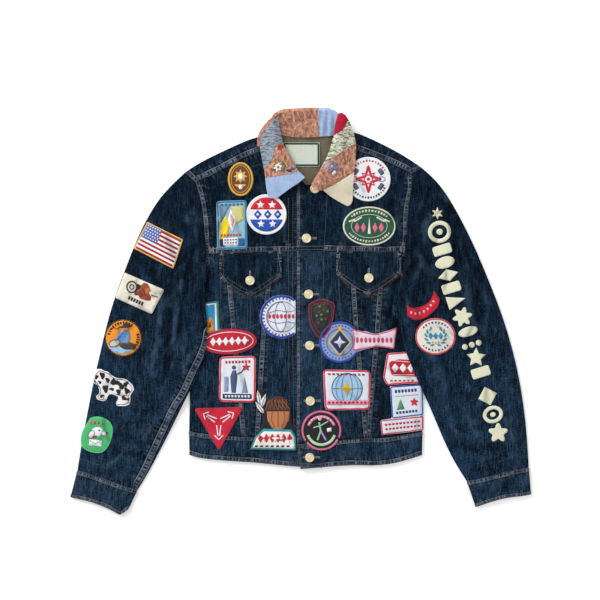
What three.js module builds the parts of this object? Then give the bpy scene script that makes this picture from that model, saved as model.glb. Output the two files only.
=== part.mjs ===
// Patched denim jacket, buttoned and laid flat on its back. Millimetres.
// +X is the viewer's right, which is the wearer's left. +Y runs to the collar. +Z is up off the surface.
import * as THREE from "three";

// Cloth
const WALL = 1.3;
const SEAM = 0.3;
const LAY = 0.4;
const BAND_WALL = 2.4;
const CUFF_WALL = 2.2;
const COLLAR_WALL = 2.2;
const FLAP_WALL = 1.6;
const PATCH_WALL = 1.2;
const LABEL_WALL = 1.0;

// Heights of the layers
const FRONT_BASE = 1.7;
const FRONT_PUFF = 2.2;
const LAP_RAISE = 1.9;
const SLEEVE_OVER_BODY = 5.6;
const SLEEVE_GAP = 0.8;
const SLEEVE_PUFF = 3.6;
const CUFF_GAP = 0.9;
const CUFF_PUFF = 1.6;
const COLLAR_ROLL = 5.5;
const COLLAR_STAND = 13;
const COLLAR_FALL = 34;
const COLLAR_OVER_FRONT = 2.8;

// Buttons
const BUTTON_R = 8.9;
const BUTTON_H = 3.4;

// Seam lines, each run from the shoulder or the side inward.
const ARM_R_SHOULDER = [[-219, 265], [-210, 256], [-200, 246]];
const ARM_R_YOKE = [[-200, 246], [-193, 227], [-188, 206], [-184, 178], [-182, 145], [-180, 110]];
const ARM_R_LOW = [[-180, 110], [-180, 94]];
const ARM_R_HIDDEN = [[-180, 94], [-195, 75], [-218, 60], [-237, 54]];
const ARM_R_BACK = [[-219, 265], [-211, 242], [-203, 215], [-198, 170], [-203, 126], [-216, 86], [-237, 54]];
const ARM_L_SHOULDER = [[230, 273], [222, 267], [211, 262]];
const ARM_L_YOKE = [[211, 262], [211, 234], [205, 206], [202, 178], [202, 150], [198, 115]];
const ARM_L_LOW = [[198, 115], [198, 105]];
const ARM_L_HIDDEN = [[198, 105], [209, 86], [227, 69], [247, 54]];
const ARM_L_BACK = [[230, 273], [222, 248], [214, 218], [207, 174], [213, 126], [228, 86], [247, 54]];
const SIDE_R = [[-237, 54], [-230, 5], [-222, -54], [-215, -105], [-210, -151], [-211, -189], [-212, -227]];
const SIDE_L = [[247, 54], [243, 5], [239, -45], [234, -95], [228, -145], [231, -187], [231, -228]];
const SHOULDER_R = [[-219, 265], [-191, 284], [-153, 302], [-115, 320], [-85, 332], [-64, 334]];
const SHOULDER_L = [[84, 342], [105, 341], [141, 325], [175, 308], [206, 290], [230, 273]];
const YOKE_FRONT_R = [[-200, 246], [-167, 261], [-136, 277], [-108, 292], [-79, 304], [-62, 313]];
const YOKE_FRONT_L = [[86, 317], [109, 306], [139, 295], [170, 282], [190, 273], [211, 262]];
const BACK_NECK = [[-64, 334], [-32, 328], [2, 326], [42, 330], [84, 342]];
const BACK_YOKE = [-198, -169, -138, -108, -80, -58, -30, 2, 36, 68, 94, 124, 152, 181, 207].map(
  (x) => [x, 172],
);
const NECK_R = [[-62, 313], [-55, 295], [-39, 273], [-19, 252], [4, 236], [40, 225], [40, 170], [40, 116]];
const NECK_L = [[86, 317], [82, 294], [67, 269], [46, 248], [21, 231], [-7, 222], [-7, 170], [-7, 116]];
const YOKE_R = [[-180, 110], [-136, 112], [-98, 113], [-61, 114], [-10, 115], [40, 116]];
const YOKE_L = [[-7, 116], [45, 116], [91, 115], [126, 114], [161, 113], [198, 115]];
const V_OUT_R = [[-136, 112], [-131, 50], [-117, -92], [-104, -238]];
const V_IN_R = [[-61, 114], [-66, 45], [-75, -45], [-81, -140], [-87, -238]];
const V_IN_L = [[91, 115], [96, 41], [101, -35], [108, -111], [120, -240]];
const V_OUT_L = [[161, 113], [155, 41], [147, -64], [140, -140], [132, -240]];
const WAIST_R = [[-212, -227], [-186, -232], [-134, -236], [-104, -238], [-87, -238], [-49, -243], [-7, -250],
  [40, -256]];
const WAIST_L = [[-7, -250], [37, -249], [84, -243], [120, -240], [132, -240], [160, -240], [189, -235],
  [231, -228]];
const WAIST_BACK = [[-212, -227], [-186, -236], [-120, -242], [-40, -250], [10, -259], [44, -259], [90, -248],
  [150, -244], [205, -238], [231, -228]];
const HEM_R = [[-211, -272], [-186, -279], [-134, -283], [-104, -285], [-87, -286], [-49, -290], [-7, -294],
  [40, -296]];
const HEM_L = [[0, -298], [37, -295], [84, -291], [120, -291], [132, -292], [160, -290], [189, -285],
  [230, -272]];
const HEM_BACK = [[-211, -272], [-186, -278], [-120, -282], [-40, -287], [10, -289], [44, -289], [90, -288],
  [150, -287], [205, -280], [230, -272]];

// Folded edges of the sleeves, from the armhole to the cuff, and the cuffs.
const SLEEVE_R_OUT = [[-219, 265], [-248, 238], [-271, 212], [-294, 174], [-317, 124], [-336, 73], [-353, 28],
  [-368, -22], [-381, -79], [-395, -140], [-406, -197], [-416, -250], [-424, -301]];
const SLEEVE_R_IN = [[-180, 94], [-178, 75], [-181, 41], [-180, 7], [-176, -29], [-178, -66], [-191, -109],
  [-209, -149], [-228, -185], [-248, -227], [-269, -267], [-290, -307], [-310, -339]];
const SLEEVE_L_OUT = [[230, 273], [259, 248], [284, 212], [306, 172], [327, 130], [346, 86], [365, 39],
  [382, -5], [398, -56], [411, -107], [421, -161], [429, -225], [433, -296]];
const SLEEVE_L_IN = [[198, 105], [193, 86], [187, 60], [183, 26], [185, -12], [192, -58], [209, -102],
  [227, -143], [247, -185], [265, -229], [282, -267], [299, -297], [315, -322]];
const CUFF_R_TOP = [[-424, -301], [-385, -313], [-347, -327], [-310, -339]];
const CUFF_R_END = [[-437, -352], [-400, -360], [-368, -371], [-342, -386], [-327, -376]];
const CUFF_L_TOP = [[433, -296], [398, -302], [360, -312], [315, -322]];
const CUFF_L_END = [[437, -347], [417, -350], [388, -353], [360, -361], [332, -371]];

// ---- plane curves -------------------------------------------------------------------------

// A smooth line through the points, cut into n equal lengths.
function smooth(points, n) {
  const curve = new THREE.CatmullRomCurve3(
    points.map(([x, y]) => new THREE.Vector3(x, y, 0)),
    false,
    "centripetal",
  );
  return curve.getSpacedPoints(n).map((p) => [p.x, p.y]);
}

// The same straight-sided line, cut into n equal lengths along it.
function split(points, n) {
  const ends = [0];
  for (let i = 1; i < points.length; i++)
    ends.push(ends[i - 1] + Math.hypot(points[i][0] - points[i - 1][0], points[i][1] - points[i - 1][1]));
  return Array.from({ length: n + 1 }, (_, k) => {
    const s = (ends.at(-1) * k) / n;
    let i = 1;
    while (i < points.length - 1 && ends[i] < s) i++;
    const t = (s - ends[i - 1]) / (ends[i] - ends[i - 1]);
    return mix2(points[i - 1], points[i], Math.min(1, t));
  });
}

const mix2 = (a, b, t) => [a[0] + (b[0] - a[0]) * t, a[1] + (b[1] - a[1]) * t];
const join = (...lines) => lines.reduce((all, l) => all.concat(all.length ? l.slice(1) : l), []);
const back = (line) => [...line].reverse();

function smoothstep(a, b, x) {
  const t = Math.min(1, Math.max(0, (x - a) / (b - a)));
  return t * t * (3 - 2 * t);
}

// Distance from a point to a line of points.
function distance(x, y, line) {
  let best = Infinity;
  for (let i = 1; i < line.length; i++) {
    const [ax, ay] = line[i - 1];
    const [bx, by] = line[i];
    const l2 = (bx - ax) ** 2 + (by - ay) ** 2 || 1;
    const t = Math.min(1, Math.max(0, ((x - ax) * (bx - ax) + (y - ay) * (by - ay)) / l2));
    best = Math.min(best, Math.hypot(x - ax - t * (bx - ax), y - ay - t * (by - ay)));
  }
  return best;
}

function inside(x, y, loop) {
  let odd = false;
  for (let i = 0, j = loop.length - 1; i < loop.length; j = i++) {
    const [xi, yi] = loop[i];
    const [xj, yj] = loop[j];
    if (yi > y !== yj > y && x < ((xj - xi) * (y - yi)) / (yj - yi) + xi) odd = !odd;
  }
  return odd;
}

// A grid of plan points between four edges: rows from top to bottom, columns from left to right.
// Each edge is drawn in by half a seam.
function grid(top, bottom, left, right, inset = SEAM / 2) {
  const rows = left.length - 1;
  const cols = top.length - 1;
  const g = [];
  for (let i = 0; i <= rows; i++) {
    const v = i / rows;
    g.push([]);
    for (let j = 0; j <= cols; j++) {
      const u = j / cols;
      const p = [0, 1].map(
        (k) =>
          (1 - v) * top[j][k] + v * bottom[j][k] + (1 - u) * left[i][k] + u * right[i][k] -
          (1 - u) * (1 - v) * top[0][k] - u * (1 - v) * top[cols][k] -
          (1 - u) * v * bottom[0][k] - u * v * bottom[cols][k],
      );
      g[i].push(p);
    }
  }
  const shifted = g.map((row) => row.map((p) => [...p]));
  const draw = (i, j, i2, j2, along) => {
    const [a, b] = along;
    const tx = b[0] - a[0];
    const ty = b[1] - a[1];
    const l = Math.hypot(tx, ty) || 1;
    let n = [-ty / l, tx / l];
    const inward = [g[i2][j2][0] - g[i][j][0], g[i2][j2][1] - g[i][j][1]];
    if (n[0] * inward[0] + n[1] * inward[1] < 0) n = [-n[0], -n[1]];
    shifted[i][j][0] += n[0] * inset;
    shifted[i][j][1] += n[1] * inset;
  };
  for (let j = 0; j <= cols; j++) {
    const a = Math.max(0, j - 1);
    const b = Math.min(cols, j + 1);
    draw(0, j, 1, j, [g[0][a], g[0][b]]);
    draw(rows, j, rows - 1, j, [g[rows][a], g[rows][b]]);
  }
  for (let i = 0; i <= rows; i++) {
    const a = Math.max(0, i - 1);
    const b = Math.min(rows, i + 1);
    draw(i, 0, i, 1, [g[a][0], g[b][0]]);
    draw(i, cols, i, cols - 1, [g[a][cols], g[b][cols]]);
  }
  return shifted;
}

// ---- sheets -------------------------------------------------------------------------------

// A closed wall of cloth. Each point has an outer and an inner place, each face lists its points
// anticlockwise from outside, and the free edges are closed with a rim.
function shell(points, faces) {
  const pos = [];
  const index = [];
  for (const p of points) pos.push(...p.outer, ...p.inner);
  const used = new Map();
  for (const f of faces) {
    for (let k = 2; k < f.length; k++) {
      index.push(f[0] * 2, f[k - 1] * 2, f[k] * 2);
      index.push(f[0] * 2 + 1, f[k] * 2 + 1, f[k - 1] * 2 + 1);
    }
    f.forEach((a, k) => used.set(a + "," + f[(k + 1) % f.length], [a, f[(k + 1) % f.length]]));
  }
  for (const [a, b] of used.values())
    if (!used.has(b + "," + a)) {
      index.push(b * 2, a * 2, a * 2 + 1);
      index.push(b * 2, a * 2 + 1, b * 2 + 1);
    }
  const geometry = new THREE.BufferGeometry();
  geometry.setAttribute("position", new THREE.Float32BufferAttribute(pos, 3));
  geometry.setIndex(index);
  return geometry;
}

// Faces of a grid whose rows run down and columns run right, seen from above.
function gridFaces(rows, cols, start = 0) {
  const faces = [];
  const at = (i, j) => start + i * (cols + 1) + j;
  for (let i = 0; i < rows; i++)
    for (let j = 0; j < cols; j++) faces.push([at(i, j), at(i + 1, j), at(i + 1, j + 1), at(i, j + 1)]);
  return faces;
}

// A flat-laid panel: grid g, underside height z(x, y, i, j).
function panel(g, z, wall = WALL) {
  const points = g.flatMap((row, i) =>
    row.map(([x, y], j) => {
      const h = z(x, y, i, j);
      return { outer: [x, y, h + wall], inner: [x, y, h] };
    }),
  );
  return shell(points, gridFaces(g.length - 1, g[0].length - 1));
}

// ---- the group ----------------------------------------------------------------------------

const jacket = new THREE.Group();
jacket.name = "patched_denim_jacket";

const COLOURS = {
  denim: 0x232e40,
  peach: 0xc89078,
  chambray: 0xb4c8e4,
  cream: 0xe6dcc8,
  red: 0xa81830,
  grey_print: 0x8fa0ae,
  green_print: 0xc9cfae,
  khaki: 0x7a7058,
  label: 0xe2e6d8,
  button: 0xe4d9a8,
  patch: 0xc9c4b8,
};

function add(name, geometry, colour) {
  const flat = geometry.index ? geometry.toNonIndexed() : geometry;
  flat.computeVertexNormals();
  const material = new THREE.MeshStandardMaterial({ color: colour, roughness: 0.9, metalness: 0 });
  const mesh = new THREE.Mesh(flat, material);
  mesh.name = name;
  jacket.add(mesh);
  return mesh;
}

// ---- heights of the body -----------------------------------------------------------------

// Underside of the fronts: flat at the sides, slightly raised over the chest.
function frontZ(x, y) {
  const across = smoothstep(0, 90, x + 232) * smoothstep(0, 90, 242 - x);
  const along = smoothstep(-250, -170, y) * smoothstep(340, 250, y);
  return FRONT_BASE + FRONT_PUFF * across * along;
}
// The wearer's left front laps over the right one.
const lapZ = (x) => LAP_RAISE * smoothstep(78, 46, x);
const frontLeftZ = (x, y) => frontZ(x, y) + lapZ(x);

// ---- back --------------------------------------------------------------------------------

const backYokeCols = BACK_YOKE.length - 1;
const shoulderCols = SHOULDER_R.length - 1;
{
  // One piece from the back yoke seam up over the shoulders to the front yoke seams.
  const top = join(SHOULDER_R, BACK_NECK, SHOULDER_L);
  const armTop = 3;
  const leftEdge = ARM_R_BACK.slice(0, armTop + 1);
  const rightEdge = ARM_L_BACK.slice(0, armTop + 1);
  const g = grid(top, BACK_YOKE, leftEdge, rightEdge);
  // Seen from above, the yoke's outer face is its underside, so the grid is laid from left to right
  // with the outer place below.
  const points = [];
  const cols = backYokeCols;
  const put = (x, y, outerZ, innerZ, ix = x, iy = y) => {
    points.push({ outer: [x, y, outerZ], inner: [ix, iy, innerZ] });
    return points.length - 1;
  };
  const rows = [];
  for (let i = g.length - 1; i >= 1; i--) rows.push(g[i].map(([x, y]) => put(x, y, 0, WALL)));
  // Last flat row, just short of the shoulder fold and the back neck edge.
  rows.push(
    g[0].map(([x, y], j) => {
      const fold = j <= shoulderCols || j >= cols - shoulderCols;
      const p = fold ? mix2([x, y], g[1][j], 0.06) : [x, y];
      return put(p[0], p[1], 0, WALL);
    }),
  );
  const faces = [];
  for (let i = 0; i + 1 < rows.length; i++)
    for (let j = 0; j < cols; j++)
      faces.push([rows[i][j], rows[i + 1][j], rows[i + 1][j + 1], rows[i][j + 1]]);
  const over = (from, front) => {
    const last = rows.at(-1);
    const lines = [last.slice(from, from + shoulderCols + 1)];
    const fold = g[0].slice(from, from + shoulderCols + 1);
    const inTo = (t, j) => mix2(fold[j], front[j], t);
    const z = (p) => (from ? frontLeftZ(...p) : frontZ(...p));
    lines.push(fold.map((p, j) => put(p[0], p[1], 0.9, WALL, ...inTo(0.07, j))));
    lines.push(
      fold.map((p, j) => put(p[0], p[1], z(p) + WALL - 0.9, z(p), ...inTo(0.07, j))),
    );
    for (const t of [0.16, 0.55, 1]) {
      const edge = t === 1 ? SEAM / 30 : 0;
      lines.push(
        fold.map((_, j) => {
          const p = inTo(t - edge, j);
          return put(p[0], p[1], z(p) + WALL, z(p));
        }),
      );
    }
    for (let i = 0; i + 1 < lines.length; i++)
      for (let j = 0; j < shoulderCols; j++)
        faces.push([lines[i][j], lines[i + 1][j], lines[i + 1][j + 1], lines[i][j + 1]]);
  };
  const inward = (line, dir) =>
    line.map(([x, y], j) => [j === (dir > 0 ? 0 : line.length - 1) ? x + dir * SEAM : x, y]);
  over(0, inward(YOKE_FRONT_R, 1));
  over(cols - shoulderCols, inward(YOKE_FRONT_L, -1));
  add("back_yoke", shell(points, faces), COLOURS.denim);

  const left = join(ARM_R_BACK.slice(armTop), SIDE_R);
  const right = join(ARM_L_BACK.slice(armTop), SIDE_L);
  const panelTop = split([BACK_YOKE[0], BACK_YOKE.at(-1)], WAIST_BACK.length - 1);
  const bg = grid(panelTop, WAIST_BACK, left, right);
  add("back_panel", panel(bg, () => 0), COLOURS.denim);
}

// ---- fronts ------------------------------------------------------------------------------

{
  const sideR = join(ARM_R_LOW, ARM_R_HIDDEN, SIDE_R);
  const sideL = join(ARM_L_LOW, ARM_L_HIDDEN, SIDE_L);
  const sideRows = sideR.length - 1;
  const yokeR = grid(YOKE_FRONT_R, YOKE_R, ARM_R_YOKE, split(NECK_R, 5));
  add("front_yoke_right", panel(yokeR, frontZ), COLOURS.denim);
  const yokeL = grid(YOKE_FRONT_L, YOKE_L, split(NECK_L, 5), ARM_L_YOKE);
  add("front_yoke_left", panel(yokeL, frontLeftZ), COLOURS.denim);

  const vOutR = smooth(V_OUT_R, sideRows);
  const vInR = smooth(V_IN_R, sideRows);
  const vInL = smooth(V_IN_L, sideRows);
  const vOutL = smooth(V_OUT_L, sideRows);
  add(
    "front_side_right",
    panel(grid(split(YOKE_R.slice(0, 2), 3), WAIST_R.slice(0, 4), sideR, vOutR), frontZ),
    COLOURS.denim,
  );
  add(
    "front_middle_right",
    panel(grid(split(YOKE_R.slice(1, 4), 1), WAIST_R.slice(3, 5), vOutR, vInR), frontZ),
    COLOURS.denim,
  );
  const underEdge = split([[40, 116], [40, -256]], sideRows);
  const frontEdge = split([[-7, 116], [-7, -250]], sideRows);
  add(
    "front_centre_right",
    panel(grid(split(YOKE_R.slice(3), 3), WAIST_R.slice(4), vInR, underEdge), frontZ),
    COLOURS.denim,
  );
  add(
    "front_centre_left",
    panel(grid(split(YOKE_L.slice(0, 3), 3), WAIST_L.slice(0, 4), frontEdge, vInL), frontLeftZ),
    COLOURS.denim,
  );
  add(
    "front_middle_left",
    panel(grid(split(YOKE_L.slice(2, 5), 1), WAIST_L.slice(3, 5), vInL, vOutL), frontLeftZ),
    COLOURS.denim,
  );
  add(
    "front_side_left",
    panel(grid(split(YOKE_L.slice(4), 3), WAIST_L.slice(4), vOutL, sideL), frontLeftZ),
    COLOURS.denim,
  );
}

// ---- waistband -----------------------------------------------------------------------------

{
  // One band round the hem: the right half lies under the left one at the middle.
  const points = [];
  const faces = [];
  const bands = [0, 0.5, 1];
  const column = (top, bottom, outerZ, innerZ, inX = 0) => {
    const first = points.length;
    for (const t of bands) {
      const [x, y] = mix2(top, bottom, t);
      const drawn = y - (t === 0 ? SEAM : 0);
      points.push({ outer: [x, drawn, outerZ], inner: [x + inX, drawn, innerZ] });
    }
    return first;
  };
  const cols = [];
  const frontLow = BAND_WALL + LAY + 0.3;
  const frontHigh = (x) => frontLow + (BAND_WALL + LAY) * smoothstep(78, 46, x);
  const under = (i) => [WAIST_BACK[i], HEM_BACK[i]];
  const round = 1.2;
  // The right front half, then round the wearer's right side, the back and the left side.
  for (let i = WAIST_R.length - 1; i >= 1; i--)
    cols.push(column(WAIST_R[i], HEM_R[i], frontLow + BAND_WALL, frontLow));
  cols.push(column(WAIST_R[0], HEM_R[0], frontLow + BAND_WALL - round, frontLow, BAND_WALL));
  cols.push(column(WAIST_R[0], HEM_R[0], round, BAND_WALL, BAND_WALL));
  for (let i = 1; i < WAIST_BACK.length - 1; i++) cols.push(column(...under(i), 0, BAND_WALL));
  const last = WAIST_L.length - 1;
  cols.push(column(WAIST_L[last], HEM_L[last], round, BAND_WALL, -BAND_WALL));
  cols.push(column(WAIST_L[last], HEM_L[last], frontLow + BAND_WALL - round, frontLow, -BAND_WALL));
  for (let i = last - 1; i >= 0; i--) {
    const z = frontHigh(WAIST_L[i][0]);
    cols.push(column(WAIST_L[i], HEM_L[i], z + BAND_WALL, z));
  }
  for (let c = 0; c + 1 < cols.length; c++)
    for (let k = 0; k + 1 < bands.length; k++)
      faces.push([cols[c] + k, cols[c + 1] + k, cols[c + 1] + k + 1, cols[c] + k + 1]);
  add("waistband", shell(points, faces), COLOURS.denim);
}

// ---- sleeves and cuffs --------------------------------------------------------------------

const BODY_R = [...ARM_R_LOW, ...ARM_R_HIDDEN, ...SIDE_R, [-150, -227], [-150, 110]];
const BODY_L = [...ARM_L_LOW, ...ARM_L_HIDDEN, ...SIDE_L, [150, -228], [150, 115]];

// How far a point is on the body: 1 over it, 0 well off it.
function onBody(x, y, body) {
  if (inside(x, y, body)) return 1;
  return smoothstep(38, 4, distance(x, y, [...body, body[0]]));
}

// Underside of a sleeve: on the table outside the body, and lifted over the body's side.
function sleeveLowZ(x, y) {
  const s = onBody(x, y, x < 0 ? BODY_R : BODY_L);
  return s * (frontZ(x, y) + WALL + SLEEVE_OVER_BODY - 3);
}

// Soft lengthwise folds along the sleeves: line, half width, height.
const FOLDS = [
  [[[-232, 18], [-241, -54], [-264, -140]], 13, 2.4],
  [[[-262, 62], [-268, -20], [-290, -168]], 13, 1.6],
  [[[-345, -250], [-320, -290]], 14, 1.8],
  [[[240, 190], [222, 140]], 12, 2.2],
  [[[300, 60], [335, -60], [360, -160]], 16, 1.8],
  [[[225, 20], [262, -90], [300, -180]], 13, 2.0],
];
function foldZ(x, y) {
  return FOLDS.reduce((z, [line, width, height]) => {
    const d = distance(x, y, line) / width;
    return z + height * Math.exp(-d * d);
  }, 0);
}

// A flattened tube between two folded edges, with its own start and end lines above and below.
function tube(name, upper, lower, zLow, zHigh, wall) {
  const rows = upper.length - 1;
  const cols = upper[0].length - 1;
  const points = [];
  const ring = 2 * (cols + 1);
  const corner = 0.5;
  for (let i = 0; i <= rows; i++) {
    const inset = (g, j) => {
      const [x, y] = g[i][j];
      if (j > 0 && j < cols) return [x, y];
      const [nx, ny] = g[i][j === 0 ? 1 : cols - 1];
      const l = Math.hypot(nx - x, ny - y);
      return mix2([x, y], [nx, ny], wall / l);
    };
    for (let j = 0; j <= cols; j++) {
      const [x, y] = upper[i][j];
      const z = zHigh(x, y, i / rows, j / cols);
      const edge = j === 0 || j === cols ? corner : 0;
      points.push({ outer: [x, y, z + wall - edge], inner: [...inset(upper, j), z] });
    }
    for (let j = cols; j >= 0; j--) {
      const [x, y] = lower[i][j];
      const z = zLow(x, y);
      const edge = j === 0 || j === cols ? corner : 0;
      points.push({ outer: [x, y, z + edge], inner: [...inset(lower, j), z + wall] });
    }
  }
  const faces = [];
  for (let i = 0; i < rows; i++)
    for (let k = 0; k < ring; k++) {
      const k2 = (k + 1) % ring;
      faces.push([i * ring + k, (i + 1) * ring + k, (i + 1) * ring + k2, i * ring + k2]);
    }
  add(name, shell(points, faces), COLOURS.denim);
}

const sleeveHighZ = (front) => (x, y, v, u) => {
  const lift = sleeveLowZ(x, y) + WALL + SLEEVE_GAP;
  const seam = front(x, y);
  const level = Math.max(lift, seam);
  const middle = Math.sin(Math.PI * u);
  const along = smoothstep(0, 0.16, v) * smoothstep(1.04, 0.86, v);
  return level + (SLEEVE_PUFF * middle + foldZ(x, y) * smoothstep(0, 0.35, middle)) * along;
};

{
  const cols = 8;
  const cuffCols = 6;
  const startR = join(ARM_R_SHOULDER, ARM_R_YOKE, ARM_R_LOW);
  const lowR = join(ARM_R_BACK, back(ARM_R_HIDDEN));
  const startL = back(join(ARM_L_SHOULDER, ARM_L_YOKE, ARM_L_LOW));
  const lowL = back(join(ARM_L_BACK, back(ARM_L_HIDDEN)));
  const sameTop = (line) => split(line, cols);
  const endR = split(CUFF_R_TOP, cols);
  const endL = split(back(CUFF_L_TOP), cols);
  tube(
    "sleeve_right",
    grid(startR, endR, SLEEVE_R_OUT, SLEEVE_R_IN),
    grid(sameTop(lowR), endR, SLEEVE_R_OUT, SLEEVE_R_IN),
    sleeveLowZ,
    sleeveHighZ(frontZ),
    WALL,
  );
  tube(
    "sleeve_left",
    grid(startL, endL, SLEEVE_L_IN, SLEEVE_L_OUT),
    grid(sameTop(lowL), endL, SLEEVE_L_IN, SLEEVE_L_OUT),
    sleeveLowZ,
    sleeveHighZ(frontLeftZ),
    WALL,
  );
  const cuffRows = 3;
  const cuffHigh = (x, y, v, u) => CUFF_WALL + CUFF_GAP + CUFF_PUFF * Math.sin(Math.PI * u);
  const cuff = (name, top, end) => {
    const g = grid(
      split(top, cuffCols),
      split(end, cuffCols),
      split([top[0], end[0]], cuffRows),
      split([top.at(-1), end.at(-1)], cuffRows),
    );
    tube(name, g, g, () => 0, cuffHigh, CUFF_WALL);
  };
  cuff("cuff_right", CUFF_R_TOP, CUFF_R_END);
  cuff("cuff_left", back(CUFF_L_TOP), back(CUFF_L_END));
}

// ---- what lies on the cloth ---------------------------------------------------------------

// Height of the top of the jacket so far, at any plan point.
const CELL = 24;
const cells = new Map();
function lay(mesh) {
  const p = mesh.geometry.getAttribute("position");
  for (let i = 0; i < p.count; i += 3) {
    const t = [0, 1, 2].map((k) => [p.getX(i + k), p.getY(i + k), p.getZ(i + k)]);
    const xs = t.map((v) => v[0]);
    const ys = t.map((v) => v[1]);
    for (let a = Math.floor(Math.min(...xs) / CELL); a <= Math.floor(Math.max(...xs) / CELL); a++)
      for (let b = Math.floor(Math.min(...ys) / CELL); b <= Math.floor(Math.max(...ys) / CELL); b++) {
        const key = a + "," + b;
        if (!cells.has(key)) cells.set(key, []);
        cells.get(key).push(t);
      }
  }
}
function topZ(x, y) {
  let best = 0;
  for (const [a, b, c] of cells.get(Math.floor(x / CELL) + "," + Math.floor(y / CELL)) ?? []) {
    const d = (b[0] - a[0]) * (c[1] - a[1]) - (c[0] - a[0]) * (b[1] - a[1]);
    if (Math.abs(d) < 1e-9) continue;
    const u = ((x - a[0]) * (c[1] - a[1]) - (c[0] - a[0]) * (y - a[1])) / d;
    const v = ((b[0] - a[0]) * (y - a[1]) - (x - a[0]) * (b[1] - a[1])) / d;
    if (u < -1e-6 || v < -1e-6 || u + v > 1 + 1e-6) continue;
    best = Math.max(best, a[2] + u * (b[2] - a[2]) + v * (c[2] - a[2]));
  }
  return best;
}

// A sheet of plan points and triangles, laid on all that is already there.
function drape(name, plan, faces, wall, colour) {
  const z = plan.map(([x, y]) => topZ(x, y) + LAY);
  const samples = 14;
  for (let pass = 0; pass < 3; pass++)
    for (const f of faces) {
      const [a, b, c] = f;
      for (let i = 0; i <= samples; i++)
        for (let j = 0; j <= samples - i; j++) {
          const w = [1 - (i + j) / samples, i / samples, j / samples];
          const at = [0, 1].map((k) => w[0] * plan[a][k] + w[1] * plan[b][k] + w[2] * plan[c][k]);
          const short = topZ(...at) + LAY * 0.7 - (w[0] * z[a] + w[1] * z[b] + w[2] * z[c]);
          if (short > 0) for (const k of f) z[k] += short;
        }
    }
  const points = plan.map(([x, y], i) => ({ outer: [x, y, z[i] + wall], inner: [x, y, z[i]] }));
  const mesh = add(name, shell(points, faces), colour);
  lay(mesh);
}

// A round or oval patch about a centre, with one inner ring.
function roundPatch(name, [cx, cy], rx, ry, tilt = 0, sides = 18) {
  const plan = [[cx, cy]];
  const faces = [];
  const middle = 0.55;
  for (const r of [middle, 1])
    for (let k = 0; k < sides; k++) {
      const a = (2 * Math.PI * k) / sides;
      const x = r * rx * Math.cos(a);
      const y = r * ry * Math.sin(a);
      plan.push([cx + x * Math.cos(tilt) - y * Math.sin(tilt), cy + x * Math.sin(tilt) + y * Math.cos(tilt)]);
    }
  for (let k = 0; k < sides; k++) {
    const n = (k + 1) % sides;
    const inner = [1 + k, 1 + n];
    const outer = [1 + sides + k, 1 + sides + n];
    faces.push([0, inner[0], inner[1]]);
    faces.push([inner[0], outer[0], outer[1]]);
    faces.push([inner[0], outer[1], inner[1]]);
  }
  drape(name, plan, faces, PATCH_WALL, COLOURS.patch);
}

// A patch between four corners or edges, given top left, top right, bottom right, bottom left.
function fourSided(name, top, bottom, left, right, wall = PATCH_WALL, colour = COLOURS.patch) {
  const g = grid(top, bottom, left, right, 0);
  const plan = g.flat();
  const faces = gridFaces(g.length - 1, g[0].length - 1).flatMap(([a, b, c, d]) => [[a, b, c], [a, c, d]]);
  drape(name, plan, faces, wall, colour);
}
function quadPatch(name, [tl, tr, br, bl], cols = 3, rows = 3) {
  fourSided(name, split([tl, tr], cols), split([bl, br], cols), split([tl, bl], rows), split([tr, br], rows));
}

// A patch with a free outline.
function outlinePatch(name, outline) {
  const loop = outline.map(([x, y]) => new THREE.Vector2(x, y));
  if (THREE.ShapeUtils.isClockWise(loop)) loop.reverse();
  const faces = THREE.ShapeUtils.triangulateShape(loop, []);
  drape(name, loop.map((p) => [p.x, p.y]), faces, PATCH_WALL, COLOURS.patch);
}

const arc = ([cx, cy], rx, ry, from, to, n) =>
  Array.from({ length: n + 1 }, (_, k) => {
    const a = ((from + ((to - from) * k) / n) * Math.PI) / 180;
    return [cx + rx * Math.cos(a), cy + ry * Math.sin(a)];
  });

const SLEEVES = ["sleeve_right", "sleeve_left"];
for (const mesh of [...jacket.children]) if (!SLEEVES.includes(mesh.name)) lay(mesh);

// Pocket flaps, pointed at the middle of the lower edge.
function flap(name, [tl, tr, r, point, l]) {
  const cols = 6;
  const lower = [...split([l, point], cols / 2), ...split([point, r], cols / 2).slice(1)];
  const upper = split([tl, tr], cols);
  fourSided(name, upper, lower, split([tl, l], 2), split([tr, r], 2), FLAP_WALL, COLOURS.denim);
}
flap("flap_right", [[-154, 110], [-36, 111], [-36, 66], [-95, 28], [-154, 63]]);
flap("flap_left", [[67, 112], [191, 113], [191, 71], [128, 30], [67, 70]]);

// Patches on the body.
roundPatch("patch_oval_gold", [-114, 251], 24, 32);
quadPatch("patch_banner_teal", [[-160, 209], [-103, 211], [-101, 119], [-158, 117]], 3, 4);
roundPatch("patch_disc_red_blue", [-65, 184], 38, 38);
roundPatch("patch_disc_white", [128, 251], 42, 42, 0, 20);
roundPatch("patch_oval_green", [130, 162], 50, 37, 0, 20);
outlinePatch("patch_strip_and_oval_red", [
  [-182, 16], [-156, 20], [-154, -35],
  ...arc([-136, -57], 53, 24, 78, -180, 14),
  [-186, -48],
]);
quadPatch("patch_rect_flower", [[-154, -86], [-85, -84], [-86, -172], [-155, -171]], 3, 4);
outlinePatch("patch_triangle_red", [
  ...split([[-202, -184], [-109, -181]], 3),
  ...split([[-118, -197], [-155, -264]], 3),
  ...split([[-162, -252], [-197, -194]], 2),
]);
outlinePatch("patch_round_and_band", [
  [-97, -262], [-89, -238], [-79, -228], [-71, -209], [-73, -197], [-81, -188], [-86, -178], [-86, -156],
  [-79, -145], [-71, -149], [-63, -164], [-49, -159], [-33, -161], [-22, -177], [-17, -197], [-17, -212],
  [-10, -226], [-8, -238], [-7, -265], [-52, -263],
]);
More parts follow.
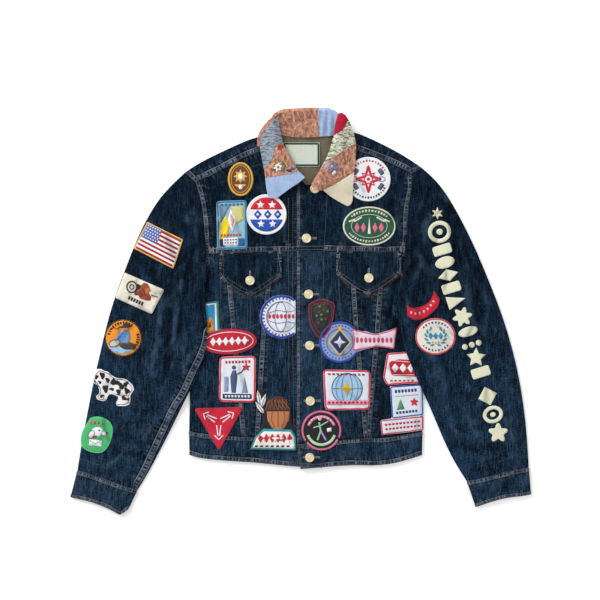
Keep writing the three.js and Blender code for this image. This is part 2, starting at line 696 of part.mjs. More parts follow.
outlinePatch("patch_disc_blue_rim", arc([-36, -10], 41, 41, 49, 311, 16));
roundPatch("patch_disc_pink_rim", [39, -225], 37.5, 37.5);
quadPatch("patch_rect_globe", [[42, -110], [132, -112], [131, -186], [46, -187]], 4, 3);
outlinePatch("patch_disc_and_bow", [
  ...arc([74, -58], 39, 39, -40, -322, 14),
  [122, -38], [141, -43], [162, -37], [183, -31], [179, -52], [177, -70], [160, -68], [143, -66], [122, -70],
]);
outlinePatch("patch_shield_dark", [
  [15, 16], [27, 21], [38, 23], [51, 21], [64, 16], [63, -2], [61, -20], [52, -39], [38, -51], [25, -39],
  [18, -20], [16, -2],
]);
outlinePatch("patch_lozenge_red", [
  [164, -79], [184, -78], [204, -76], [211, -96], [220, -116], [228, -134], [196, -137], [164, -140],
  [156, -126], [160, -102],
]);
outlinePatch("patch_rect_blue_and_strip", [
  [169, -142], [199, -140], [229, -138], [231, -166], [232, -195], [232, -225], [193, -230], [154, -234],
  [151, -206], [173, -203], [171, -172],
]);

// ---- neck --------------------------------------------------------------------------------

{
  const rows = 4;
  const cols = 4;
  const top = split([[-45, 337], [-26, 333], [2, 331], [33, 332], [66, 338]], cols);
  const left = split([[-45, 337], [-39, 314], [-28, 288], [-13, 265], [10, 241]], rows);
  const right = split([[66, 338], [60, 314], [50, 288], [38, 265], [20, 241]], rows);
  const g = grid(top, split([[10, 241], [20, 241]], cols), left, right);
  add("neck_facing", panel(g, () => WALL + LAY), COLOURS.khaki);
  const label = grid(split([[-33, 321], [36, 321]], 3), split([[-32, 275], [36, 275]], 3),
    split([[-33, 321], [-32, 275]], 2), split([[36, 321], [36, 275]], 2));
  add("neck_label", panel(label, () => 2 * (WALL + LAY), LABEL_WALL), COLOURS.label);
}

// ---- collar ------------------------------------------------------------------------------

const FOLD_R = [[-43, 372], [-42, 367], [-39, 341], [-34, 319], [-24, 300], [-15, 282], [-5, 267], [8, 254]];
const FOLD_L = [[72, 374], [67, 362], [65, 351], [62, 332], [57, 313], [51, 294], [38, 272], [30, 257],
  [20, 242]];
const TOP_BUTTON = [27, 233];

// Underside of a collar leaf: on the front, and rolled up towards its folded edge and the back.
const leafZ = (front, fold) => (x, y) => {
  const d = distance(x, y, fold);
  const roll = COLLAR_ROLL * smoothstep(-6, 9, d) * smoothstep(48, 9, d);
  const rise = (COLLAR_STAND - 6) * smoothstep(285, 372, y);
  const overButton = BUTTON_H * smoothstep(34, 16, Math.hypot(x - TOP_BUTTON[0], y - TOP_BUTTON[1]));
  return front(x, y) + WALL + COLLAR_OVER_FRONT + roll + rise + overButton;
};
const leafR = leafZ(frontZ, FOLD_R);
const leafL = leafZ(frontLeftZ, FOLD_L);

function leaf(name, z, colour, top, bottom, left, right, cols, rows) {
  // A line that already has its points keeps them, so that neighbours share a seam.
  const cut = (line, n) => (line.length === n + 1 ? line : split(line, n));
  const g = grid(cut(top, cols), cut(bottom, cols), cut(left, rows), cut(right, rows));
  add(name, panel(g, z, COLLAR_WALL), colour);
}

// The back of the collar: from the neck seam up to the fold, and down behind to the table.
function collarBack(name, colour, top, bottom, left, right, cols) {
  const g = grid(split(top, cols), split(bottom, cols), split(left, 4), split(right, 4));
  const w = COLLAR_WALL;
  const high = COLLAR_STAND + w;
  const rows = [
    g[0].map(([x, y]) => ({ outer: [x, y - COLLAR_FALL, 0], inner: [x, y - COLLAR_FALL, w] })),
    g[0].map(([x, y]) => ({ outer: [x, y - 5, 0], inner: [x, y - 5 - w, w] })),
    g[0].map(([x, y]) => ({ outer: [x, y, 4], inner: [x, y - w, 4 + w / 2] })),
    g[0].map(([x, y]) => ({ outer: [x, y, high - 4.5], inner: [x, y - w, high - 4.5 - w / 2] })),
    g[0].map(([x, y]) => ({ outer: [x, y - 5, high], inner: [x, y - 5 - w, high - w] })),
  ];
  const neckZ = 2 * (WALL + LAY) + 0.3;
  for (let i = 1; i < g.length; i++) {
    const t = i / (g.length - 1);
    const z = THREE.MathUtils.lerp(COLLAR_STAND, neckZ, t ** 1.3);
    rows.push(g[i].map(([x, y]) => ({ outer: [x, y, z + w], inner: [x, y, z] })));
  }
  add(name, shell(rows.flat(), gridFaces(rows.length - 1, cols)), colour);
}
collarBack(
  "collar_back_quilted",
  COLOURS.peach,
  [[-43.5, 379], [-30, 383], [-11, 384], [12, 385], [33, 385]],
  [[-38, 336], [-24, 333], [-7, 331], [12, 331], [33, 332]],
  [[-43.5, 379], [-43.5, 368], [-42, 358], [-39, 341], [-38, 336]],
  [[33, 385], [33, 332]],
  6,
);
collarBack(
  "collar_back_chambray",
  COLOURS.chambray,
  [[33, 385], [48, 386], [60, 384], [71, 375]],
  [[33, 332], [44, 332.5], [54, 333], [62, 334]],
  [[33, 385], [33, 332]],
  [[71, 375], [67, 362], [65, 351], [62, 334]],
  4,
);
leaf("collar_edge_peach", leafR, COLOURS.peach,
  [[-49, 375], [-43.5, 377]], [[-83, 314], [-77.5, 313]],
  [[-49, 375], [-54, 367], [-68, 355], [-77, 343], [-82, 330], [-83, 314]],
  [[-43.5, 377], [-44, 369], [-50, 361], [-64, 349], [-73, 337], [-77, 326], [-77.5, 313]], 1, 6);
// Seams between the patchwork pieces of the two leaves.
const GREY_SEAM = split([[-69, 269], [-54, 287], [-47, 313], [-34, 319]], 5);
const TIP_R_SEAM = [[-67, 253], [-53, 255], [-39, 257], [-26, 259], [-15, 262], [-4, 266]];
const RED_LOW_SEAM = split([[62, 332], [81, 345]], 3);
const RED_SIDE_SEAM = split([[81, 345], [85, 354], [91, 361]], 3);
const PRINT_SEAM = split([[38, 271], [50, 286], [65, 293], [86, 309], [104, 319]], 6);
const TIP_L_SEAM = split([[43, 229], [71, 245], [101, 264]], 4);
leaf("collar_print_grey", leafR, COLOURS.grey_print, [[-49, 361], [-43.5, 368]], GREY_SEAM,
  [[-50, 360.5], [-63.5, 348.5], [-72.5, 336.5], [-76.5, 325.5], [-77, 311], [-69, 269]],
  [[-43.5, 368], [-42, 358], [-39, 341], [-34, 319]], 5, 5);
leaf("collar_leaf_right_quilted", leafR, COLOURS.peach, GREY_SEAM, TIP_R_SEAM,
  [[-69, 269], [-67, 253]], [[-34, 319], [-24, 300], [-15, 282], [-4, 266]], 5, 3);
leaf("collar_tip_right_chambray", leafR, COLOURS.chambray, TIP_R_SEAM,
  [[-60, 215], [-49, 212], [-20, 234], [-1, 245], [8, 254]],
  [[-67, 253], [-65, 231], [-60, 215]], [[-4, 266], [8, 254]], 5, 3);
leaf("collar_leaf_left_red", leafL, COLOURS.red, [[71, 374], [77, 375], [84, 371], [91, 361]], RED_LOW_SEAM,
  [[71, 374], [67, 362], [65, 351], [62, 332]], back(RED_SIDE_SEAM), 3, 3);
leaf("collar_leaf_left_print", leafL, COLOURS.green_print, join(RED_LOW_SEAM, RED_SIDE_SEAM), PRINT_SEAM,
  [[62, 332], [57, 313], [51, 294], [38, 271]], [[91, 361], [97, 346], [102, 332], [104, 319]], 6, 4);
leaf("collar_leaf_left_quilted", leafL, COLOURS.peach, PRINT_SEAM,
  join([[25, 230], [34, 229], [43, 229]], TIP_L_SEAM),
  [[38, 271], [30, 257], [20, 242], [25, 230]], [[104, 319], [105, 307], [104, 288], [101, 264]], 6, 4);
leaf("collar_tip_left_cream", leafL, COLOURS.cream, TIP_L_SEAM, [[88, 200], [94, 202], [98, 210]],
  [[43, 229], [56, 218], [71, 209], [88, 200]], [[101, 264], [99, 238], [98, 210]], 4, 4);

// ---- patches on the sleeves ---------------------------------------------------------------

for (const mesh of jacket.children) if (SLEEVES.includes(mesh.name)) lay(mesh);
quadPatch("patch_flag", [[-291, 170], [-223, 136], [-241, 81], [-317, 120]], 4, 3);
quadPatch("patch_rect_cream", [[-334, 74], [-258, 41], [-282, -5], [-352, 26]], 4, 3);
roundPatch("patch_disc_orange", [-336, -50], 35, 35);
outlinePatch("patch_cow", [
  [-395, -130], [-387, -109], [-372, -113], [-359, -121], [-349, -126], [-328, -130], [-315, -147],
  [-323, -159], [-332, -178], [-347, -179], [-345, -162], [-359, -157], [-370, -168], [-387, -162],
  [-383, -142],
]);
roundPatch("patch_pebble_green", [-388, -235], 29, 36, -0.15, 16);
fourSided(
  "patch_ribbon_red",
  split([[201, 13], [208, 7], [223, 8], [238, 14], [247, 24], [252, 40]], 6),
  split([[202, -9], [217, -16], [234, -12], [247, -3], [259, 10], [263, 24]], 6),
  split([[201, 13], [202, -9]], 1),
  split([[252, 40], [263, 24]], 1),
);
roundPatch("patch_disc_laurel", [255, -47], 38, 34.5);

// ---- buttons -----------------------------------------------------------------------------

function button(name, [x, y]) {
  let z = 0;
  const around = 16;
  for (let k = 0; k < around; k++)
    for (const r of [0.3, 0.7, 1, 1.1]) {
      const a = (2 * Math.PI * k) / around;
      z = Math.max(z, topZ(x + BUTTON_R * r * Math.cos(a), y + BUTTON_R * r * Math.sin(a)));
    }
  const rim = BUTTON_R * 0.76;
  const profile = [
    [0, 0],
    [BUTTON_R * 0.85, 0],
    [BUTTON_R, BUTTON_H * 0.4],
    [BUTTON_R * 0.93, BUTTON_H * 0.85],
    [rim, BUTTON_H],
    [rim * 0.85, BUTTON_H * 0.7],
    [0, BUTTON_H * 0.78],
  ].map(([r, h]) => new THREE.Vector2(r, h));
  const g = new THREE.LatheGeometry(profile, 20);
  g.rotateX(Math.PI / 2);
  g.translate(x, y, z + LAY / 2);
  add(name, g, COLOURS.button);
}
const LOWER_BUTTONS = [[11, 139], [15, 33], [17, -64], [18, -169], [17, -276]];
LOWER_BUTTONS.forEach((p, i) => button("button_front_" + (i + 2), p));
button("button_front_1", TOP_BUTTON);
button("button_flap_right", [-96, 59]);
button("button_flap_left", [129, 64]);

// Stand the whole on the middle of its footprint.
const box = new THREE.Box3().setFromObject(jacket);
const shift = box.getCenter(new THREE.Vector3());
for (const mesh of jacket.children) mesh.geometry.translate(-shift.x, -shift.y, -box.min.z);

export default jacket;
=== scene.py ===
# Patched denim jacket, laid flat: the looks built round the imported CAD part.
# The denim is each CAD solid smoothed, with its creases and seams raised in code. The patches, the embroidery
# and the stitches are laid on it by height maps. Lengths in the tables are millimetres in the part's own
# plane; MM turns them to metres.
import math

import bmesh
import bpy
import numpy as np
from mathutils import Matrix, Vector
from mathutils.bvhtree import BVHTree
from mathutils.geometry import delaunay_2d_cdt


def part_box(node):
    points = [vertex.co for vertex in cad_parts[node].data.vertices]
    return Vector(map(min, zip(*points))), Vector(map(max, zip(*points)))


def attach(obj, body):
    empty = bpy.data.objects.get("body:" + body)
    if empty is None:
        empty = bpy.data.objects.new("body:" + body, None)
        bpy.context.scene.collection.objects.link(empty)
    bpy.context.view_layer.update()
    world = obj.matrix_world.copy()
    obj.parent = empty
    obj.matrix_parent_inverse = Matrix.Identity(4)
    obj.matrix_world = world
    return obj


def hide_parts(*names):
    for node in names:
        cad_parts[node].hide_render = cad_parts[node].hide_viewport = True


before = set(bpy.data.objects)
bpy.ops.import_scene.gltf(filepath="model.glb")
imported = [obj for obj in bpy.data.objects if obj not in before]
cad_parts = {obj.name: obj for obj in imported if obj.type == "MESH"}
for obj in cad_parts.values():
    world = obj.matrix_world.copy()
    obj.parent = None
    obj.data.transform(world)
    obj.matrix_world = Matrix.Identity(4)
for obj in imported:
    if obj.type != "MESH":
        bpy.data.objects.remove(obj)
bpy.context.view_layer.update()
MM = 0.001

# ---------------------------------------------------------------- seam lines
# R is the wearer's right, which is on the left as seen from above.
ARM_R = [(-219, 265), (-210, 256), (-200, 246), (-193, 227), (-188, 206), (-184, 178), (-182, 145),
         (-180, 110), (-180, 94)]
ARM_L = [(230, 273), (222, 267), (211, 262), (211, 234), (205, 206), (202, 178), (202, 150), (198, 115),
         (198, 105)]
SHOULDER_R = [(-200, 246), (-167, 261), (-136, 277), (-108, 292), (-79, 304), (-62, 313)]
SHOULDER_L = [(86, 317), (109, 306), (139, 295), (170, 282), (190, 273), (211, 262)]
YOKE_R = [(-180, 110), (-136, 112), (-98, 113), (-61, 114), (-10, 115), (40, 116)]
YOKE_L = [(-7, 116), (45, 116), (91, 115), (126, 114), (161, 113), (198, 115)]
V_OUT_R = [(-136, 112), (-131, 50), (-117, -92), (-104, -238)]
V_IN_R = [(-61, 114), (-66, 45), (-75, -45), (-81, -140), (-87, -238)]
V_IN_L = [(91, 115), (96, 41), (101, -35), (108, -111), (120, -240)]
V_OUT_L = [(161, 113), (155, 41), (147, -64), (140, -140), (132, -240)]
WAIST_R = [(-212, -227), (-186, -232), (-134, -236), (-104, -238), (-87, -238), (-49, -243), (-7, -250),
           (40, -256)]
WAIST_L = [(-7, -250), (37, -249), (84, -243), (120, -240), (132, -240), (160, -240), (189, -235),
           (231, -228)]
HEM_R = [(-211, -272), (-186, -279), (-134, -283), (-104, -285), (-87, -286), (-49, -290), (-7, -294),
         (40, -296)]
HEM_L = [(0, -298), (37, -295), (84, -291), (120, -291), (132, -292), (160, -290), (189, -285), (230, -272)]
FLAP_R = [(-154, 110), (-154, 63), (-95, 28), (-36, 66), (-36, 111)]
FLAP_L = [(67, 112), (67, 70), (128, 30), (191, 71), (191, 113)]
FRONT_EDGE = [(-7, 222), (-7, 116), (-7, 0), (-7, -120), (-7, -250), (0, -298)]
CUFF_R = [(-424, -301), (-385, -313), (-347, -327), (-310, -339)]
CUFF_R_END = [(-437, -352), (-400, -360), (-368, -371), (-342, -386), (-327, -376)]
CUFF_L = [(433, -296), (398, -302), (360, -312), (315, -322)]
CUFF_L_END = [(437, -347), (417, -350), (388, -353), (360, -361), (332, -371)]
# The felled seam that shows along the wearer's right sleeve.
SLEEVE_SEAM = [(-172, -40), (-176, -62), (-186, -88), (-201, -119), (-220, -159), (-235, -182),
               (-256, -225), (-279, -275), (-292, -303), (-309, -333)]

# ---------------------------------------------------------------- plane geometry
def curve(points, step):
    """Points along a smooth line through the given ones, a step apart."""
    p = np.array(points, float)
    if len(p) > 2:
        p = np.vstack([2 * p[0] - p[1], p, 2 * p[-1] - p[-2]])
        t = np.linspace(0, 1, 12, endpoint=False)[:, None]
        q = []
        for a, b, c, d in zip(p, p[1:], p[2:], p[3:]):
            bend = (2 * a - 5 * b + 4 * c - d) * t ** 2 + (3 * b - a - 3 * c + d) * t ** 3
            q.append(0.5 * (2 * b + (c - a) * t + bend))
        p = np.vstack(q + [p[-2:-1]])
    return resample(p, step)


def round_curve(points):
    """A smooth outline through the given points."""
    return curve(points + points[:1], 4)[:-1]


def resample(line, step):
    """The line as points about a step apart, its ends kept."""
    q = np.array(line, float)
    s = np.r_[0, np.cumsum(np.hypot(*np.diff(q, axis=0).T))]
    u = np.linspace(0, s[-1], max(2, int(round(s[-1] / step)) + 1))
    return np.c_[np.interp(u, s, q[:, 0]), np.interp(u, s, q[:, 1])]


def closed_line(loop, step):
    """The outline as points about a step apart, its first one not given again."""
    return resample(np.vstack([loop, loop[:1]]), step)[:-1]


def ways(q, closed=False):
    """Unit vectors along a line and to its left, at each of its points."""
    t = np.roll(q, -1, axis=0) - np.roll(q, 1, axis=0) if closed else np.gradient(q, axis=0)
    t = t / (np.linalg.norm(t, axis=1)[:, None] + 1e-12)
    return t, np.c_[-t[:, 1], t[:, 0]]


def loop_area(loop):
    """The outline's area, below zero if it runs clockwise."""
    x, y = np.asarray(loop, float).T
    return np.sum(x * np.roll(y, -1) - y * np.roll(x, -1)) / 2


def offset(q, d):
    """The line moved d to its left."""
    return q + d * ways(q)[1]


def to_line(P, line, reach):
    """For the points within reach of a line: which they are, how far off, where along it and on which side.
    The line's length comes last."""
    q = np.array(line, float)
    near = np.all((P > q.min(0) - reach) & (P < q.max(0) + reach), axis=1).nonzero()[0]
    X = P[near]
    best = np.full(len(near), 1e9)
    where = np.zeros(len(near))
    side = np.zeros(len(near))
    start = 0.0
    for a, b in zip(q, q[1:]):
        d = b - a
        length = math.hypot(*d) or 1e-9
        t = np.clip(((X - a) @ d) / length ** 2, 0, 1)
        r = X - a - t[:, None] * d
        distance = np.hypot(r[:, 0], r[:, 1])
        m = distance < best
        best[m] = distance[m]
        where[m] = start + t[m] * length
        side[m] = np.sign(d[0] * r[m, 1] - d[1] * r[m, 0])
        start += length
    return near, best, where, side, start


def wobble(s, seed, length):
    """A smooth made-up ripple along a line."""
    r = np.random.default_rng(seed)
    out = 0
    for _ in range(5):
        wave = np.sin(2 * np.pi * s / (length * r.uniform(0.6, 1.9)) + r.uniform(0, 6.3))
        out = out + wave * r.uniform(0.5, 1)
    return out / 3


def smooth(a, b, x):
    """An even rise from 0 at a to 1 at b."""
    t = np.clip((x - a) / (b - a), 0, 1)
    return t * t * (3 - 2 * t)

# ---------------------------------------------------------------- creases and seams on the cloth
# Each crease: its line, half width, height (a trough is below zero).
BODY_CREASES = [
    ([(-120, 24), (-108, -8), (-88, -20)], 9, -1.2), ([(-132, 20), (-124, -10), (-112, -40)], 8, 1.3),
    ([(-150, 40), (-160, 0), (-158, -40)], 9, 1.0), ([(-168, 90), (-166, 30), (-172, -30)], 8, -0.9),
    ([(-20, 220), (-18, 160), (-20, 120)], 7, -0.7), ([(-28, 214), (-30, 150), (-26, 122)], 5, 0.8),
    ([(-24, 100), (-22, 20), (-24, -80), (-20, -220)], 6, -0.8),
    ([(-30, 60), (-31, -20), (-29, -160)], 5, 0.6), ([(-90, 236), (-60, 226), (-30, 236)], 9, 0.8),
    ([(-170, 230), (-150, 180), (-168, 130)], 10, -1.0), ([(-176, 200), (-166, 160), (-170, 128)], 7, 0.9),
    ([(182, 235), (170, 200), (186, 150)], 10, -1.1), ([(190, 215), (182, 180), (192, 140)], 7, 1.1),
    ([(60, 224), (90, 214), (86, 150)], 9, 0.7), ([(60, 60), (52, 20), (56, -20)], 6, 0.8),
    ([(196, 60), (176, 10), (168, -30)], 9, -1.0), ([(110, 20), (126, 0), (146, 14)], 8, -1.0),
    ([(115, 10), (120, -28), (126, -60)], 7, 0.9), ([(150, 0), (160, -40), (168, -72)], 8, 1.0),
    ([(-96, -90), (-92, -150), (-96, -220)], 6, 0.7), ([(-190, -90), (-182, -140), (-196, -190)], 9, 1.0),
    ([(-175, -110), (-165, -160), (-176, -214)], 7, -0.8),
    ([(140, -160), (146, -190), (150, -232)], 6, 0.8), ([(60, -190), (90, -208), (110, -230)], 8, 0.7),
    ([(205, -120), (214, -170), (210, -220)], 8, 0.9), ([(-140, -200), (-120, -214), (-98, -206)], 7, 0.7),
    ([(-60, 96), (-56, 60), (-60, 24)], 5, 0.8), ([(-118, 100), (-110, 70), (-118, 48)], 7, -0.8),
    ([(-84, 100), (-80, 74), (-88, 50)], 6, 0.8), ([(100, 100), (106, 76), (118, 56)], 7, -0.8),
    ([(160, 100), (152, 76), (140, 58)], 7, 0.8), ([(84, 104), (82, 84), (88, 66)], 5, 0.7),
]
SLEEVE_CREASES = [
    # wearer's right
    ([(-262, 152), (-250, 132), (-243, 108), (-246, 88)], 11, -1.5),
    ([(-222, 152), (-230, 134), (-228, 112)], 9, 1.0), ([(-290, 84), (-276, 74), (-266, 78)], 6, -1.4),
    ([(-306, 20), (-296, -2), (-300, -18)], 6, -1.3), ([(-322, -62), (-308, -74), (-298, -92)], 6, -1.4),
    ([(-344, -152), (-330, -164), (-318, -182)], 6, -1.6),
    ([(-222, 22), (-226, -6), (-234, -54), (-245, -85), (-258, -134)], 8, -3.2),
    ([(-243, 60), (-247, -16), (-256, -90), (-267, -168)], 8, -2.6),
    ([(-232, 40), (-238, -30), (-250, -100)], 7, 2.0), ([(-262, 50), (-270, -40), (-288, -150)], 9, 1.8),
    ([(-192, 50), (-186, 20), (-188, -10)], 6, -1.6), ([(-210, 215), (-204, 180), (-196, 150)], 9, -2.2),
    ([(-222, 190), (-214, 176), (-206, 160)], 7, 1.6), ([(-258, 150), (-240, 160), (-228, 156)], 9, -1.8),
    ([(-232, 225), (-214, 200), (-200, 160), (-196, 120)], 7, 1.4),
    ([(-262, 196), (-240, 180), (-216, 150)], 8, -1.2), ([(-205, 110), (-214, 60), (-208, 10)], 8, -2.0),
    ([(-218, 100), (-226, 50), (-222, 20)], 7, 1.6), ([(-200, -60), (-215, -100), (-232, -140)], 7, 1.4),
    ([(-330, -231), (-305, -252), (-290, -260)], 7, -2.2),
    ([(-344, -270), (-320, -272), (-300, -271)], 7, -1.8),
    ([(-382, -305), (-350, -282), (-334, -263)], 8, 2.0),
    ([(-358, -244), (-350, -262), (-340, -278)], 7, -1.6),
    ([(-400, -280), (-380, -290), (-352, -300)], 8, 1.4),
    ([(-300, -120), (-318, -170), (-340, -215)], 9, 1.3),
    ([(-270, -190), (-290, -230), (-310, -262)], 8, 1.6),
    ([(-250, -175), (-262, -215), (-284, -262)], 6, -1.3),
    ([(-320, -80), (-300, -130), (-312, -180)], 9, -1.2), ([(-290, 60), (-284, 20), (-300, -20)], 10, 0.9),
    ([(-352, -178), (-372, -200), (-384, -230)], 9, 0.8),
    # wearer's left
    ([(236, 202), (226, 170), (217, 136)], 9, -2.8), ([(250, 205), (240, 165), (232, 120)], 8, 1.8),
    ([(265, 212), (284, 196), (300, 184)], 9, -1.8), ([(248, 236), (268, 222), (290, 200)], 8, 1.4),
    ([(208, 136), (222, 118), (236, 101)], 8, -2.8), ([(236, 101), (214, 84), (194, 64)], 8, -2.6),
    ([(216, 128), (228, 90), (206, 50)], 7, 1.8), ([(196, 40), (204, 10), (196, -30)], 8, 1.6),
    ([(210, 40), (222, 0), (216, -40)], 8, -1.8), ([(302, 100), (318, 20), (330, -60)], 12, 1.3),
    ([(322, 60), (338, -30), (352, -110)], 9, -1.2), ([(232, -20), (250, -90), (280, -170)], 9, 1.6),
    ([(214, -70), (236, -130), (262, -186)], 7, -1.4), ([(262, -60), (286, -140), (310, -210)], 9, -1.3),
    ([(300, -170), (330, -220), (352, -262)], 9, 1.4), ([(352, -300), (372, -306), (392, -307)], 6, -2.0),
    ([(330, -290), (352, -276), (380, -270)], 7, 1.8), ([(380, -180), (400, -230), (412, -280)], 9, 1.3),
    ([(400, -150), (416, -210), (424, -270)], 7, -1.2), ([(300, -250), (322, -262), (350, -262)], 7, -1.4),
    ([(280, -210), (300, -232), (330, -240)], 7, 1.3), ([(396, -262), (410, -280), (428, -286)], 7, 1.4),
    ([(272, 150), (276, 100), (268, 60)], 10, 1.0), ([(340, 60), (360, 0), (376, -60)], 9, 0.9),
]
# Hollows beside the sleeves, where the fronts dip under them; their troughs carry painted shade.
BODY_CREASES += [
    ([(190, 100), (182, 50), (180, 0), (192, -50), (204, -80)], 13, -2.4),
    ([(203, 60), (198, 0), (208, -60)], 10, -2.0), ([(-184, 84), (-178, 50), (-174, 24)], 9, -2.0),
    ([(-186, -60), (-196, -90), (-204, -110)], 8, -1.6),
]
FLAP_SHADOW = [([a, b], 5, -1.1) for f in (FLAP_R, FLAP_L) for a, b in zip(f, f[1:])]


def small_creases(seed, start, end, across, count):
    """Short soft folds scattered about a line, mostly running along it."""
    r = np.random.default_rng(seed)
    a, b = np.array(start, float), np.array(end, float)
    along = (b - a) / np.linalg.norm(b - a)
    side = np.array((-along[1], along[0]))
    out = []
    for _ in range(count):
        c = a + (b - a) * r.uniform(0, 1) + side * r.uniform(-across, across)
        turn = r.normal(0, 0.45)
        way = along * math.cos(turn) + side * math.sin(turn)
        length = r.uniform(18, 48)
        bend = side * r.uniform(-0.18, 0.18) * length
        width = r.uniform(3.5, 6.5)
        out.append(([c - way * length, c + bend, c + way * length], width,
                    r.choice((-1.0, 0.8)) * r.uniform(0.5, 1.2)))
    return out


SLEEVE_CREASES += small_creases(3, (-215, 200), (-355, -270), 62, 70)
SLEEVE_CREASES += small_creases(4, (232, 200), (375, -270), 55, 70)
for seed, start, end, across, count in (
        (5, (-110, 90), (-110, -225), 95, 36), (6, (130, 90), (140, -225), 95, 36),
        (7, (-120, 250), (-110, 130), 60, 12), (8, (120, 250), (130, 130), 70, 12)):
    BODY_CREASES += small_creases(seed, start, end, across, count)
# Seams with their raised band: line, band width to the left of the line (a minus is to the right), seed.
BODY_SEAMS = [
    (ARM_R, 7, 1), (ARM_L, -7, 2), (SHOULDER_R, 9, 3), (SHOULDER_L, 9, 4), (YOKE_R, 9, 5), (YOKE_L, 9, 6),
    (V_OUT_R, -8, 7), (V_IN_R, 8, 8), (V_IN_L, 8, 9), (V_OUT_L, -8, 10), (WAIST_R, -7, 11), (WAIST_L, -7, 12),
    (HEM_R, 8, 13), (HEM_L, 8, 14), (FRONT_EDGE, 5, 15),
]
SLEEVE_SEAMS = [(SLEEVE_SEAM, -11, 21), (CUFF_R, -7, 22), (CUFF_L, 7, 23), (CUFF_R_END, 6, 24),
                (CUFF_L_END, -6, 25)]


# Points to follow a crease or seam are this far apart.
LINE_STEP = 6
CREASE_GAIN = 1.25
# How far from a seam the cloth still shows it, and the heights of its band and of the puckers across it.
SEAM_REACH, BAND_RISE, PUCKER = 24.0, 0.7, 0.6


def add_creases(P, creases, z, look):
    """Raise or sink the cloth along each crease, and note where a painted highlight goes on its ridge and
    painted shade in its trough.
    """
    for line, width, height in creases:
        height *= CREASE_GAIN
        near, d, s, _, total = to_line(P, curve(line, LINE_STEP), width * 3)
        ends = smooth(0, 0.35, np.minimum(s, total - s) / total)
        z[near] += height * np.exp(-(d / width) ** 2) * ends
        # Painted light: a highlight along a ridge, shade along a trough.
        tone = np.exp(-(d / (width * 0.62)) ** 2) * ends * min(1.0, abs(height) / 2.2)
        look["lit" if height > 0 else "dark"][near] += tone


def add_seams(P, seams, z, look):
    """Raise each seam's band with puckers across it, and note where each point is on its nearest seam."""
    nearest = np.full(len(P), SEAM_REACH)
    second = np.full(len(P), SEAM_REACH)
    for line, band, seed in seams:
        near, d, s, side, _ = to_line(P, curve(line, LINE_STEP), SEAM_REACH)
        x = d * side * np.sign(band)
        b = abs(band)
        z[near] += BAND_RISE * smooth(-0.6, 0.6, x) * smooth(b + 1.2, b, x)
        # The puckers are strongest on the band and die away beside it.
        beside = np.maximum(0, np.abs(x - b / 2) - b / 2)
        z[near] += PUCKER * wobble(s, seed, 9) * np.exp(-(beside / 7) ** 2)
        closer = d < nearest[near]
        second[near] = np.minimum(second[near], np.where(closer, nearest[near], d))
        k = near[closer]
        nearest[k] = d[closer]
        look["across"][k] = x[closer] / b
        look["along"][k] = s[closer] + 400 * seed
    look["seam"] = smooth(0.2, 3.5, second - nearest)


def relief(P, creases, seams):
    """Height to add at each plan point, with its painted highlight and shade and its place on the nearest
    seam.
    """
    z = np.zeros(len(P))
    look = {name: np.zeros(len(P)) for name in ("lit", "dark", "along")}
    look["across"] = np.full(len(P), 3.0)
    add_creases(P, creases, z, look)
    add_seams(P, seams, z, look)
    return z, look

# ---------------------------------------------------------------- materials
def srgb(colour):
    """A colour of 0 to 255 values as a linear one with full cover."""
    c = np.array(colour, float) / 255
    return tuple(np.where(c <= 0.04045, c / 12.92, ((c + 0.055) / 1.055) ** 2.4)) + (1.0,)


def shade(colour, k):
    """A linear colour made k times as bright."""
    return tuple(min(1, v * k) for v in colour[:3]) + (1.0,)


